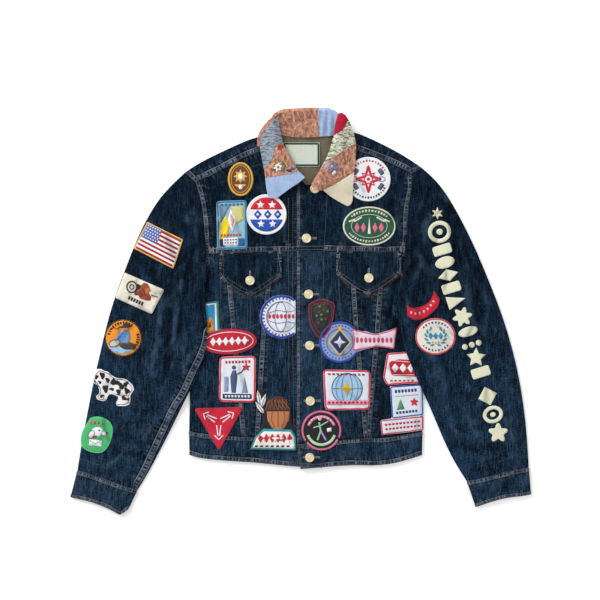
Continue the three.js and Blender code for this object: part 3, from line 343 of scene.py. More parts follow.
class Nodes:
    """A material in the making: its nodes, and the colour painted so far."""

    def __init__(self, name, roughness, colour):
        self.mat = bpy.data.materials.new(name)
        self.mat.use_nodes = True
        self.t = self.mat.node_tree
        self.bsdf = self.t.nodes["Principled BSDF"]
        self.bsdf.inputs["Roughness"].default_value = roughness
        self.coord = self.t.nodes.new("ShaderNodeTexCoord").outputs["Object"]
        self.colour = colour

    def feed(self, socket, value):
        """Join a socket to another one, or give it a plain value."""
        if isinstance(value, bpy.types.NodeSocket):
            self.t.links.new(value, socket)
        else:
            socket.default_value = value

    def new(self, kind, **values):
        """A node of a kind, with its inputs fed and its settings made."""
        n = self.t.nodes.new(kind)
        for k, v in values.items():
            if k in n.inputs:
                self.feed(n.inputs[k], v)
            else:
                setattr(n, k, v)
        return n

    def scaled(self, scale, turn=0.0):
        """The place on the object, scaled and then turned in the plane."""
        return self.new("ShaderNodeMapping", Vector=self.coord, Scale=scale, Rotation=(0, 0, turn)).outputs[0]

    def noise(self, scale, detail, vector=None, rough=0.55):
        return self.new("ShaderNodeTexNoise", Vector=vector or self.coord, Scale=scale, Detail=detail,
                        Roughness=rough).outputs["Fac"]

    def wave(self, scale, distortion, turn):
        return self.new("ShaderNodeTexWave", Vector=self.scaled((1, 1, 1), turn), Scale=scale,
                        Distortion=distortion, Detail=1.0).outputs["Fac"]

    def ramp(self, value, a, b, at_a=0.0, at_b=1.0):
        """A value's run from a to b, turned into one from at_a to at_b."""
        return self.new("ShaderNodeMapRange", **{"Value": value, "From Min": a, "From Max": b,
                                                 "To Min": at_a, "To Max": at_b}).outputs[0]

    def math(self, operation, a, b=0.0):
        n = self.new("ShaderNodeMath", operation=operation)
        for socket, value in zip(n.inputs, (a, b)):
            self.feed(socket, value)
        return n.outputs[0]

    def times(self, product, *others):
        for value in others:
            product = self.math("MULTIPLY", product, value)
        return product

    def away(self, value, centre):
        """How far a value is from a centre."""
        return self.math("ABSOLUTE", self.math("SUBTRACT", value, centre))

    def plane(self, x, y, kx, ky):
        """A vector of two values, each scaled."""
        n = self.new("ShaderNodeCombineXYZ", X=self.times(x, kx), Y=self.times(y, ky))
        return n.outputs[0]

    def attribute(self, name):
        return self.new("ShaderNodeAttribute", attribute_name=name).outputs["Fac"]

    def paint(self, colour, *masks):
        """Lay a colour over what is painted so far, where all of the masks let it through."""
        n = self.new("ShaderNodeMix", data_type="RGBA")
        factor, a, b = n.inputs[0], n.inputs[6], n.inputs[7]
        for socket, value in ((factor, self.times(*masks)), (a, self.colour), (b, colour)):
            self.feed(socket, value)
        self.colour = n.outputs[2]

    def bump(self, height, distance, strength):
        n = self.new("ShaderNodeBump", Height=height, Strength=strength, Distance=distance)
        self.t.links.new(n.outputs[0], self.bsdf.inputs["Normal"])

    def done(self, sheen=0.1, gloss=0.2):
        """Give the surface what has been painted: the material is then whole."""
        self.t.links.new(self.colour, self.bsdf.inputs["Base Color"])
        self.bsdf.inputs["Sheen Weight"].default_value = sheen
        self.bsdf.inputs["Specular IOR Level"].default_value = gloss
        return self.mat


# The denim's colours: its indigo, the painted highlights and shade of its folds, its mottling, its seams with
# painted shade in their grooves, and its worn edges.
INDIGO_DEEP, INDIGO, INDIGO_PALE = srgb((3, 7, 13)), srgb((13, 34, 56)), srgb((64, 96, 124))
SHADE_AND_DEEP_TONE, FOLD_HIGHLIGHT_AND_FADE, MOTTLE_PALE = srgb((3, 6, 12)), srgb((54, 74, 94)), srgb((46, 70, 96))
PUCKER_PALE, TRACK_PALE, RIM_PALE = srgb((86, 106, 128)), srgb((134, 148, 164)), srgb((136, 138, 146))
GROOVE_SHADE, BAND_BLUE, WORN_TAN = srgb((3, 5, 9)), srgb((70, 84, 104)), srgb((124, 100, 80))


def denim_weave(n, turn, grain):
    """Blotches, mottling and threads of the cloth, the painted highlights and shade of its folds, and its
    bump.
    """
    twill = n.wave(330.0, 1.2, turn + 1.05)
    slub = n.noise(1.0, 3.0, n.scaled((800, 45, 60), -turn), 0.7)
    weft = n.noise(1.0, 2.0, n.scaled((90, 900, 60), -turn))
    mottle = n.noise(64.0, 5.0, n.scaled((1.0, 0.6, 1.0), -turn), 0.72)
    n.paint(INDIGO, n.ramp(n.noise(21.0, 6.0, rough=0.66), 0.36, 0.62))
    n.paint(INDIGO_DEEP, n.ramp(n.noise(5.0, 2.0), 0.38, 0.6, 0.6, 0.0))
    # Painted shade in crease troughs and on sides that turn down, with the darker tone of some pieces and of
    # the upper sleeves.
    painted_darker = n.attribute("dark")
    n.paint(SHADE_AND_DEEP_TONE, painted_darker)
    # Painted highlight on crease ridges, with the paler fade of the faded pieces.
    n.paint(FOLD_HIGHLIGHT_AND_FADE, n.attribute("lit"), n.ramp(mottle, 0.38, 0.6, 0.1, 0.85))
    # Pale flecks are fewer where painted shade and the darker tone lie.
    flecks = n.ramp(painted_darker, 0.0, 0.9, 1.0, 0.3)
    n.paint(MOTTLE_PALE, flecks, n.ramp(mottle, 0.5, 0.66, 0.0, 0.5))
    n.paint(INDIGO_DEEP, n.ramp(mottle, 0.3, 0.47, 0.85, 0.0))
    n.paint(INDIGO_PALE, flecks, n.ramp(slub, 0.5, 0.74, 0.0, 0.65))
    n.paint(INDIGO_DEEP, n.ramp(slub, 0.28, 0.47, 0.8, 0.0))
    n.paint(INDIGO_PALE, flecks, n.ramp(weft, 0.55, 0.85, 0.0, 0.35))
    n.paint(INDIGO_PALE, flecks, n.ramp(grain, 0.52, 0.72, 0.0, 0.5))
    n.paint(INDIGO_DEEP, n.ramp(grain, 0.3, 0.47, 0.55, 0.0))
    n.bump(n.math("ADD", n.times(twill, 0.6), slub), 0.00025, 0.6)


def denim_seams(n):
    """Seams: across is 0 at the seam and 1 at the far row of its band; along is in millimetres."""
    across, along, near = n.attribute("across"), n.attribute("along"), n.attribute("seam")
    off = n.away(across, 0.5)
    beside = n.times(near, n.ramp(off, 0.4, 1.9, 1.0, 0.0))
    ticks = n.noise(1.0, 1.0, n.plane(along, across, 0.31, 0.35), 0.5)
    slow = n.noise(1.0, 2.0, n.plane(along, across, 0.045, 0.2), 0.5)
    n.paint(INDIGO_DEEP, beside, n.ramp(ticks, 0.36, 0.5, 0.8, 0.0))
    n.paint(PUCKER_PALE, beside, n.ramp(ticks, 0.5, 0.68, 0.0, 0.5))
    track = n.times(n.ramp(off, 0.1, 0.42, 1.0, 0.0), n.ramp(ticks, 0.46, 0.6, 0.0, 0.65))
    n.paint(TRACK_PALE, near, track, n.ramp(slow, 0.38, 0.6, 0.35, 1.0))
    # Painted shade in a groove along each side of a seam's band.
    n.paint(GROOVE_SHADE, near, n.ramp(n.away(off, 0.68), 0.03, 0.15, 0.95, 0.0))
    rim = n.times(near, n.ramp(n.away(off, 0.5), 0.03, 0.1, 1.0, 0.0))
    n.paint(RIM_PALE, rim, n.ramp(slow, 0.38, 0.6, 0.2, 0.85))
    n.paint(BAND_BLUE, near, n.ramp(off, 0.48, 0.62, 1.0, 0.0), 0.1)


def denim_material(name, turn):
    """Indigo twill: turn is the way the warp runs in the plane."""
    n = Nodes(name, 0.9, INDIGO_DEEP)
    grain = n.noise(460.0, 3.0, rough=0.75)
    denim_weave(n, turn, grain)
    denim_seams(n)
    n.paint(WORN_TAN, n.attribute("worn"), n.ramp(grain, 0.35, 0.6, 0.3, 1.0))
    return n.done(0.0, 0.02)


def thread_material(name, colour, turn):
    """Embroidery or twill patch cloth: fine raised threads, a little uneven in colour."""
    base = srgb(colour)
    n = Nodes(name, 0.62, base)
    wave = n.wave(420.0, 0.8, turn)
    n.paint(shade(base, 0.62), n.ramp(wave, 0.0, 0.5, 0.55, 0.0))
    n.paint(shade(base, 0.62), n.ramp(n.noise(60.0, 4.0), 0.45, 0.75, 0.0, 0.22))
    # Painted shade where the patch lies in a crease's trough.
    n.paint(shade(base, 0.22), n.attribute("dark"))
    n.bump(wave, 0.00018, 0.7)
    return n.done(0.25)


def plain_material(name, colour, second, scale, amount, crinkle=0.0):
    """Plain woven cloth: two crossing sets of threads, and fine crinkles where it has shrunk, drawn with
    painted shade and highlight and a bump.
    """
    colour, second = srgb(colour), srgb(second)
    n = Nodes(name, 0.85, colour)
    warp = n.noise(1.0, 2.0, n.scaled((scale * 5, scale * 0.5, 40)))
    weft = n.noise(1.0, 2.0, n.scaled((scale * 0.5, scale * 5, 40)))
    weave = n.times(n.math("ADD", warp, weft), 0.5)
    n.paint(second, n.ramp(weave, 0.35, 0.65, 0.0, amount))
    n.paint(second, n.ramp(n.noise(35.0, 4.0), 0.45, 0.8, 0.0, 0.3))
    # Painted shade in the hollows of the cloth's waves and crinkles.
    n.paint(shade(second, 0.35), n.attribute("dark"))
    if crinkle:
        # Thin lines of painted shade along the crinkles, and a painted highlight on the cloth between them.
        fold = n.away(n.noise(130.0, 2.5, n.scaled((1, 0.7, 1), 0.5)), 0.5)
        n.paint(shade(second, 0.35), n.ramp(fold, 0.0, 0.035, crinkle, 0.0))
        n.paint(shade(colour, 1.25), n.ramp(fold, 0.05, 0.16, 0.0, 0.3))
        n.bump(n.ramp(fold, 0.0, 0.06, 0.0, 1.0), 0.0006, 0.7)
    else:
        n.bump(weave, 0.0002, 0.6)
    return n.done()


def print_material(name, ground, ink, second, turn, stretch):
    """Printed cloth: broken dark lines and small blocks on a pale ground."""
    scale = 170.0
    ground, ink, second = srgb(ground), srgb(ink), srgb(second)
    n = Nodes(name, 0.85, ground)
    cells = n.new("ShaderNodeTexVoronoi", Vector=n.scaled((scale, scale * stretch, scale), turn), Scale=1.0,
                  Randomness=0.8).outputs["Distance"]
    lines = n.noise(1.0, 4.0, n.scaled((scale * 0.6, scale * stretch * 1.5, scale), turn), 0.7)
    n.paint(ink, n.ramp(lines, 0.5, 0.56, 0.0, 0.85))
    n.paint(second, n.ramp(cells, 0.22, 0.3, 0.55, 0.0))
    n.paint(ground, n.ramp(n.noise(scale * 1.3, 2.0), 0.6, 0.66, 0.0, 0.6))
    # Painted shade in the hollows of the cloth's waves.
    n.paint(shade(ink, 0.4), n.attribute("dark"))
    n.bump(n.noise(900.0, 2.0), 0.0001, 0.6)
    return n.done()


def metal_material():
    n = Nodes("button_metal", 0.34, srgb((232, 222, 186)))
    n.paint(srgb((190, 172, 126)), n.ramp(n.noise(500.0, 3.0), 0.35, 0.7, 0.0, 0.5))
    n.bsdf.inputs["Metallic"].default_value = 0.35
    n.bump(n.noise(1500.0, 2.0), 0.00005, 0.4)
    return n.done(0.0)


def paper_material():
    """The white sheet beneath, which glows a little so that it stays white."""
    n = Nodes("paper_white", 0.95, (0.97, 0.97, 0.97, 1))
    n.paint((0.93, 0.93, 0.93, 1), n.ramp(n.noise(3.0, 2.0), 0.3, 0.7, 0.0, 0.02))
    n.bsdf.inputs["Emission Color"].default_value = (1, 1, 1, 1)
    n.bsdf.inputs["Emission Strength"].default_value = 0.18
    return n.done(0.0)


# The way the warp runs on the pieces where it isn't straight down.
WARP = {"sleeve_right": 0.28, "cuff_right": 0.3, "sleeve_left": -0.3, "cuff_left": -0.25, "waistband": 1.57}
DENIM = {t: denim_material("denim_%d" % i, t) for i, t in enumerate(sorted({0.0, *WARP.values()}))}
THREADS = {}


def thread(colour):
    """The thread of a colour, made the first time it is asked for."""
    if colour not in THREADS:
        THREADS[colour] = thread_material("thread_%d_%d_%d" % colour, colour, (sum(colour) % 7) * 0.5)
    return THREADS[colour]


CLOTHS = {
    "peach": plain_material("peach_cloth", (198, 146, 122), (140, 88, 68), 240.0, 0.45, 0.7),
    "chambray": plain_material("chambray_cloth", (166, 186, 214), (112, 138, 182), 240.0, 0.65),
    "cream": plain_material("cream_cloth", (214, 206, 186), (182, 168, 140), 240.0, 0.4),
    "red": plain_material("red_cloth", (178, 14, 48), (110, 6, 30), 240.0, 0.4),
    "khaki": plain_material("khaki_cloth", (112, 103, 84), (72, 65, 52), 240.0, 0.6),
    "label": plain_material("label_cloth", (200, 206, 194), (168, 178, 158), 300.0, 0.5),
    "grey_print": print_material("grey_print", (150, 160, 172), (44, 52, 68), (92, 102, 118), 0.9, 2.4),
    "green_print": print_material("green_print", (206, 206, 184), (30, 48, 42), (104, 126, 112), 0.8, 1.4),
}

# ---------------------------------------------------------------- cloth shells from the CAD solids
def add_object(name, data):
    ob = bpy.data.objects.new(name, data)
    bpy.context.scene.collection.objects.link(ob)
    return ob


def grown(node, level, crease, sharp=0.9):
    """The node's solid as a smooth closed shell: its facets joined into quads and subdivided.
    Edges that turn by more than sharp, in radians, keep their corner as far as crease says."""
    bm = bmesh.new()
    bm.from_mesh(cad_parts[node].data)
    bmesh.ops.remove_doubles(bm, verts=bm.verts, dist=3e-5)
    bmesh.ops.join_triangles(bm, faces=bm.faces, angle_face_threshold=0.6, angle_shape_threshold=3.0)
    layer = bm.edges.layers.float.get("crease_edge") or bm.edges.layers.float.new("crease_edge")
    for e in bm.edges:
        if len(e.link_faces) == 2 and e.calc_face_angle(0) > sharp:
            e[layer] = crease
    me = bpy.data.meshes.new(node + "_cage")
    bm.to_mesh(me)
    bm.free()
    ob = add_object(node + "_cage", me)
    sub = ob.modifiers.new("smooth", "SUBSURF")
    sub.levels = sub.render_levels = level
    sub.boundary_smooth = "PRESERVE_CORNERS"
    out = bpy.data.meshes.new_from_object(ob.evaluated_get(bpy.context.evaluated_depsgraph_get()))
    bpy.data.objects.remove(ob)
    return out


def read(me, field):
    """The "co" or the "normal" of every vertex, a row for each."""
    v = np.empty(len(me.vertices) * 3, np.float32)
    me.vertices.foreach_get(field, v)
    return v.reshape(-1, 3).astype(float)


def move_to(me, v):
    """Put the vertices at the places given, none of them under the floor."""
    v[:, 2] = np.maximum(v[:, 2], 0)
    me.vertices.foreach_set("co", v.astype(np.float32).ravel())
    me.update()


def attribute(me, name, values):
    """Store a value for each vertex, for the material to read."""
    a = me.attributes.new(name, "FLOAT", "POINT")
    a.data.foreach_set("value", np.asarray(values, np.float32))


def finish_piece(me, name, node, materials):
    """The mesh as a smooth-shaded piece of the visual model, in the place of a node if one is given."""
    me.materials.clear()
    for m in materials:
        me.materials.append(m)
    me.polygons.foreach_set("use_smooth", np.ones(len(me.polygons), bool))
    ob = add_object(name, me)
    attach(ob, "root")
    if node:
        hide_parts(node)
    return ob


BODY_TOP = ["back_yoke", "front_yoke_right", "front_yoke_left", "front_side_right", "front_middle_right",
            "front_centre_right", "front_centre_left", "front_middle_left", "front_side_left", "waistband"]
SLEEVES = ["sleeve_right", "sleeve_left", "cuff_right", "cuff_left"]
FLAPS = ["flap_right", "flap_left"]
# Pieces painted darker all over.
DARKER_PIECES = {"front_yoke_right": 0.7, "front_yoke_left": 0.56, "flap_right": 0.68, "flap_left": 0.56,
           "front_side_left": 0.52, "front_middle_left": 0.36, "back_yoke": 0.5, "front_side_right": 0.12}
# Pieces that have faded more.
FADED = {"cuff_right": 0.42, "cuff_left": 0.32, "waistband": 0.25, "front_centre_left": 0.3}
# The fading of the left front centre stays on its placket, which ends at this x.
PLACKET_EDGE = 42
WORN_EDGES = [HEM_R, HEM_L, CUFF_R_END, CUFF_L_END, FLAP_R[1:4], FLAP_L[1:4]]
WORN_WIDTH = 1.6
# How often a shell is subdivided where it shows from above, and where it is hidden.
FINE, COARSE = 3, 2
pieces = {}


def worn_at(P, seed=5):
    """How far each plan point is rubbed pale, along the edges that wear first."""
    w = np.zeros(len(P))
    for k, line in enumerate(WORN_EDGES):
        near, d, s, _, _ = to_line(P, curve(line, LINE_STEP), WORN_WIDTH * 3)
        w[near] += np.exp(-(d / WORN_WIDTH) ** 2) * np.clip(0.55 + 0.6 * wobble(s, seed + k, 40), 0, 1)
    return np.clip(w, 0, 1)


def hold_tube(z, look, height, up):
    """On a tube only the upper wall moves, and the folded sides follow a little. Heights are above the floor,
    and up is how far each vertex faces up."""
    high = smooth(1.6, 3.6, height)
    weight = np.where(up > -0.2, high, high * 0.9)
    weight = np.where((height < 7.5) & (up < 0), 0, weight)
    look["lit"] *= high
    look["dark"] *= high
    look["seam"] *= smooth(0.1, 0.5, high)
    return np.maximum(z, -3.4) * weight


def uneven(P):
    """The cloth's own unevenness, a quarter of a millimetre either way."""
    x, y = P.T
    return 0.25 * np.sin(x / 7.1 + 1.3 * np.sin(y / 11)) * np.sin(y / 8.3 + np.sin(x / 13))


def paint_light_and_dye(me, node, P, look, up, tube):
    """Store for the material the painted highlights and shade, the faded and darker pieces, the seams and the
    worn edges.
    """
    lost = FADED.get(node, 0.0)
    if node == "front_centre_left":
        lost = lost * smooth(PLACKET_EDGE + 8, PLACKET_EDGE - 4, P[:, 0])
    # Painted highlights on the crease ridges, plus the paler fade of the faded pieces.
    attribute(me, "lit", np.clip(look["lit"] + lost, 0, 1))
    # Some pieces, and the sleeves more towards the top, are painted darker; sides that turn down get painted
    # shade.
    painted_darker = DARKER_PIECES.get(node, 0.0) + (smooth(-170, 130, P[:, 1]) * 0.7 if tube else 0.0)
    turned = smooth(0.75, 0.3, np.abs(up)) * 0.8
    attribute(me, "dark", np.clip(look["dark"] * 0.85 + painted_darker + turned, 0, 0.95))
    for name in ("across", "along", "seam"):
        attribute(me, name, look[name])
    attribute(me, "worn", worn_at(P) * 0.8)


def cloth_piece(node, level, creases, seams, tube=False):
    """A denim piece: its shell with creases and seams raised, given its fades, wear and painted highlights
    and shade, in the node's place.
    """
    me = grown(node, level, 0.75 if tube else 1.0)
    v = read(me, "co")
    up = read(me, "normal")[:, 2]
    P, height = v[:, :2] / MM, v[:, 2] / MM
    z, look = relief(P, creases, seams)
    if tube:
        z = hold_tube(z, look, height, up)
    v[:, 2] += (z + uneven(P) * (height > 1.5)) * MM
    move_to(me, v)
    paint_light_and_dye(me, node, P, look, up, tube)
    pieces[node] = finish_piece(me, node + "_cloth", node, [DENIM[WARP.get(node, 0.0)]])


for node in BODY_TOP:
    cloth_piece(node, FINE, BODY_CREASES + FLAP_SHADOW, BODY_SEAMS)
cloth_piece("back_panel", COARSE, [], [])
for node in SLEEVES:
    cloth_piece(node, FINE, SLEEVE_CREASES, SLEEVE_SEAMS, tube=True)

# ---------------------------------------------------------------- heights to lay things on
CROSS = ((1, 0), (-1, 0), (0, 1), (0, -1))
# Rays are cast down from here, in metres.
RAY_TOP = 0.2


class Ground:
    """The top of some pieces as a height over the plane, in millimetres."""
    STEP = 2.0
    LOW = np.array([-445.0, -395.0])
    SIZE = np.array([446, 396])
    trees = {}

    def __init__(self, nodes, spread):
        H = np.zeros(self.SIZE)
        for node in nodes:
            self.cast(H, node)
        # The tops are spread outwards a little, so that what crosses an edge doesn't cut it, then smoothed.
        for _ in range(spread):
            H = np.max([H] + [np.roll(H, way, (0, 1)) for way in CROSS], axis=0)
        for _ in range(3):
            H = H * 0.4 + sum(np.roll(H, way, (0, 1)) * 0.15 for way in CROSS)
        self.H = H

    def cast(self, H, node):
        """Raise H to the top of a piece wherever a ray from above meets it."""
        me = pieces[node].data
        v = read(me, "co")
        tree = self.trees[node] = BVHTree.FromPolygons(v.tolist(), [tuple(p.vertices) for p in me.polygons])
        cells = ((v[:, :2] / MM - self.LOW) / self.STEP).astype(int)
        lo, hi = np.maximum(cells.min(0), 0), np.minimum(cells.max(0) + 2, self.SIZE)
        for i in range(lo[0], hi[0]):
            for j in range(lo[1], hi[1]):
                x, y = (self.LOW + self.STEP * np.array([i, j])) * MM
                hit = tree.ray_cast((x, y, RAY_TOP), (0, 0, -1))[0]
                if hit is not None:
                    H[i, j] = max(H[i, j], hit[2] / MM)

    def __call__(self, P):
        g = (np.asarray(P, float) - self.LOW) / self.STEP
        g = np.clip(g, 0, self.SIZE - 1.001)
        i, j = g.astype(int).T
        f, h = (g % 1).T
        H = self.H
        near = H[i, j] * (1 - f) + H[i + 1, j] * f
        far = H[i, j + 1] * (1 - f) + H[i + 1, j + 1] * f
        return near * (1 - h) + far * h


body_ground = Ground(BODY_TOP, 1)
sleeve_ground = Ground(SLEEVES, 2)

# ---------------------------------------------------------------- small solids laid on the cloth
class Build:
    """Gathers many small solids into one mesh."""

    def __init__(self, creases=()):
        self.creases = creases
        self.v, self.f, self.m = [], [], []
        self.count = 0
        self.mats = []

    def add(self, v, faces, mat):
        if mat not in self.mats:
            self.mats.append(mat)
        self.v.append(np.asarray(v, float))
        self.f += [[i + self.count for i in face] for face in faces]
        self.m += [self.mats.index(mat)] * len(faces)
        self.count += len(v)

    def make(self, name, node, slot):
        """The gathered solids as one piece, shaded in the hollows of the creases they lie on."""
        me = bpy.data.meshes.new(name)
        v = np.vstack(self.v)
        me.from_pydata((v * MM).tolist(), [], self.f)
        if self.creases:
            _, look = relief(v[:, :2], self.creases, [])
            attribute(me, "dark", np.clip(look["dark"], 0, 0.6))
        ob = finish_piece(me, name, node, self.mats)
        me.polygons.foreach_set("material_index", self.m)
        me.update()
        return ob


def inside(P, loop):
    """Which points are inside the outline."""
    x, y = P[:, 0], P[:, 1]
    odd = np.zeros(len(P), bool)
    for (xa, ya), (xb, yb) in zip(loop, np.roll(loop, 1, axis=0)):
        if ya != yb:
            odd ^= ((ya > y) != (yb > y)) & (x < (xb - xa) * (y - ya) / (yb - ya) + xa)
    return odd


def grid_inside(loop, cell):
    """Points of a square grid that are inside the outline and well clear of it."""
    lo, hi = loop.min(0), loop.max(0)
    if min(hi - lo) <= cell * 1.6:
        return np.zeros((0, 2))
    gx, gy = np.meshgrid(*(np.arange(a + cell / 2, b, cell) for a, b in zip(lo, hi)))
    grid = np.c_[gx.ravel(), gy.ravel()]
    grid = grid[inside(grid, loop)]
    if len(grid):
        clear = np.min(np.linalg.norm(grid[:, None] - loop[None], axis=2), axis=1)
        grid = grid[clear > cell * 0.45]
    return grid


def slab(build, loop, ground, lift, thick, mat, cell=5.0):
    """A thin solid of the outline, lying lift above the ground."""
    loop = closed_line(loop, cell * 0.8)
    points = np.vstack([loop, grid_inside(loop, cell)])
    rim = list(range(len(loop)))
    flat, _, facets, *_ = delaunay_2d_cdt([Vector(p) for p in points], [], [rim], 1, 1e-4)
    V = np.array([(p[0], p[1]) for p in flat])
    z = ground(V) + lift
    k = len(V)
    faces = []
    edges = {}
    for t in facets:
        (ax, ay), (bx, by), (cx, cy) = V[t[0]], V[t[1]], V[t[2]]
        if (bx - ax) * (cy - ay) - (by - ay) * (cx - ax) < 0:
            t = t[::-1]
        faces += [list(t), [i + k for i in reversed(t)]]
        edges.update(dict.fromkeys(zip(t, t[1:] + t[:1])))
    faces += [[b, a, a + k, b + k] for a, b in edges if (b, a) not in edges]
    build.add(np.vstack([np.c_[V, z + thick], np.c_[V, z]]), faces, mat)


def tube_faces(rows, n, closed, turned):
    """Faces round a tube of some rows, each of n points along it."""
    faces = []
    for i in range(n if closed else n - 1):
        j = (i + 1) % n
        for r in range(rows):
            s = (r + 1) % rows
            face = [r * n + i, s * n + i, s * n + j, r * n + j]
            faces.append(face[::-1] if turned else face)
    return faces


# A stroke's section: places across it, from -0.5 to 0.5, and the height at each.
DOME = [(-0.5, 0.0), (-0.42, 0.75), (0.0, 1.0), (0.42, 0.75), (0.5, 0.0)]


def stroke(build, line, width, ground, lift, thick, mat, closed=False):
    """A raised line of thread, domed across."""
    q = closed_line(line, 3.0) if closed else resample(line, 3.0)
    _, side = ways(q, closed)
    rows = []
    for across, height in DOME:
        p = q + side * (across * width)
        rows.append(np.c_[p, ground(p) + lift + height * thick])
    n = len(q)
    faces = tube_faces(len(DOME), n, closed, True)
    if not closed:
        start = [r * n for r in range(len(DOME))]
        faces += [start, [i + n - 1 for i in reversed(start)]]
    build.add(np.vstack(rows), faces, mat)


def merrow(build, loop, width, ground, lift, mat, rise=1.1):
    """The overcast edge of a patch: a ribbed roll of thread, a rise high."""
    q = closed_line(loop, 1.5)
    _, side = ways(q, True)
    area = loop_area(q)
    inward = side * np.sign(area)
    mid = q + inward * width * 0.42
    base = ground(mid) + lift
    rows = []
    for a in np.linspace(0, math.pi, 7):
        rib = 1 + 0.10 * np.where(np.arange(len(q)) % 2, 1, -1) * math.sin(a)
        rows.append(np.c_[mid - inward * (math.cos(a) * width * 0.5), base + math.sin(a) * rise * rib])
    build.add(np.vstack(rows), tube_faces(len(rows), len(q), True, area >= 0), mat)

# ---------------------------------------------------------------- shapes in the plane
def at(c, points, turn):
    """Points turned, then moved to a centre."""
    r = np.array([(math.cos(turn), math.sin(turn)), (-math.sin(turn), math.cos(turn))])
    return np.array(points, float) @ r + np.array(c)


def ellipse(c, rx, ry=None, tilt=0.0, a0=0, a1=360, n=48):
    """A whole ellipse of n points, or its part from one angle to another, in degrees."""
    ry = rx if ry is None else ry
    a = np.radians(np.linspace(a0, a1, n, endpoint=(a1 - a0) < 360))
    return at(c, np.c_[rx * np.cos(a), ry * np.sin(a)], tilt)


def box(c, w, h, tilt=0.0):
    """A rectangle about a centre."""
    return at(c, [(-w / 2, -h / 2), (w / 2, -h / 2), (w / 2, h / 2), (-w / 2, h / 2)], tilt)


def lozenge(c, w, h):
    """A diamond from its left corner, by way of its top: w and h are the half sizes."""
    return np.array([(-w, 0), (0, h), (w, 0), (0, -h)]) + c


def rounded(loop, r):
    """The outline with its corners cut round."""
    out = []
    p = np.asarray(loop, float)
    for a, b, c in zip(np.roll(p, 1, axis=0), p, np.roll(p, -1, axis=0)):
        u, v = (a - b) / np.linalg.norm(a - b), (c - b) / np.linalg.norm(c - b)
        for t in (0, 0.25, 0.5, 0.75, 1):
            out.append(b + u * r * (1 - t) ** 2 + v * r * t ** 2)
    return np.array(out)


def star(c, r, points=5, inner=0.42, turn=90):
    """A star with its first point at an angle in degrees; inner is the hollows' share of the radius."""
    a = np.radians(turn + np.arange(points * 2) * 180 / points)
    rr = np.where(np.arange(points * 2) % 2, r * inner, r)
    return np.c_[c[0] + rr * np.cos(a), c[1] + rr * np.sin(a)]


def wavy(c, r0, r1, n):
    """A round with n rounded petals, between two radii."""
    a = np.linspace(0, 2 * np.pi, 48, endpoint=False)
    r = (r0 + r1) / 2 + (r1 - r0) / 2 * np.sin(n * a)
    return np.c_[c[0] + r * np.cos(a), c[1] + r * np.sin(a)]


def blob(c, r, seed):
    """An uneven rounded blotch."""
    k = np.random.default_rng(int(abs(seed) * 10)).uniform(0, 6.3, 3)
    a = np.linspace(0, 2 * np.pi, 20, endpoint=False)
    rr = r * (1 + 0.25 * np.sin(2 * a + k[0]) + 0.2 * np.sin(3 * a + k[1]) + 0.12 * np.sin(5 * a + k[2]))
    return np.c_[c[0] + 1.15 * rr * np.cos(a), c[1] + rr * np.sin(a)]


def bars(count, step, x, y, w, h):
    """Like bars side by side, a step apart, the first of them centred at (x, y)."""
    return [box((x + step * k, y), w, h) for k in range(count)]


def dashes(c, r, a0, a1, n, w, h, ry=None):
    """Short bars of uneven size round an ellipse."""
    out = []
    for k in range(n):
        a = math.radians(a0 + (a1 - a0) * (k + 0.5) / n)
        p = (c[0] + r * math.cos(a), c[1] + (ry or r) * math.sin(a))
        out.append(box(p, w * (0.7 + 0.15 * (k * 7 % 3)), h * (0.7 + 0.1 * (k * 5 % 4)), a + math.pi / 2))
    return out


class Square:
    """Maps a unit square, u right and v down, onto a four-cornered patch."""

    def __init__(self, tl, tr, br, bl):
        self.corners = [np.array(p, float) for p in (tl, tr, br, bl)]

    def __call__(self, *points):
        """Where each (u, v) is on the patch."""
        p = np.array(points, float)
        u, v = p[:, :1], p[:, 1:]
        tl, tr, br, bl = self.corners
        return (1 - u) * (1 - v) * tl + u * (1 - v) * tr + u * v * br + (1 - u) * v * bl

    def point(self, u, v):
        return self((u, v))[0]

    def rect(self, u0, v0, u1, v1):
        return self((u0, v0), (u1, v0), (u1, v1), (u0, v1))

    def row(self, count, step, u0, v0, u1, v1):
        """Like rectangles side by side, a step apart."""
        return [self.rect(u0 + step * k, v0, u1 + step * k, v1) for k in range(count)]

# ---------------------------------------------------------------- patches
trim_body, trim_sleeve = Build(BODY_CREASES), Build(SLEEVE_CREASES)
# How far a patch is above what it lies on, and its thickness.
LIFT, THICK = 0.15, 1.1
# Embroidery: the rise of each level, how far it sinks into what is under it, and its thickness.
LEVEL_STEP, SUNK = 0.16, 0.1
FILL_THICK, LINE_THICK = 0.28, 0.55
PATCH_CELL = 6.0


def under(loop, nodes):
    """The pieces that an outline lies on: the topmost one at each of its points."""
    found = set()
    for x, y in np.vstack([loop, loop.mean(0)]) * MM:
        hits = [(Ground.trees[n].ray_cast((x, y, RAY_TOP), (0, 0, -1))[0], n) for n in nodes]
        hits = [(hit[2], n) for hit, n in hits if hit is not None]
        if hits:
            found.add(max(hits)[1])
    return sorted(found)


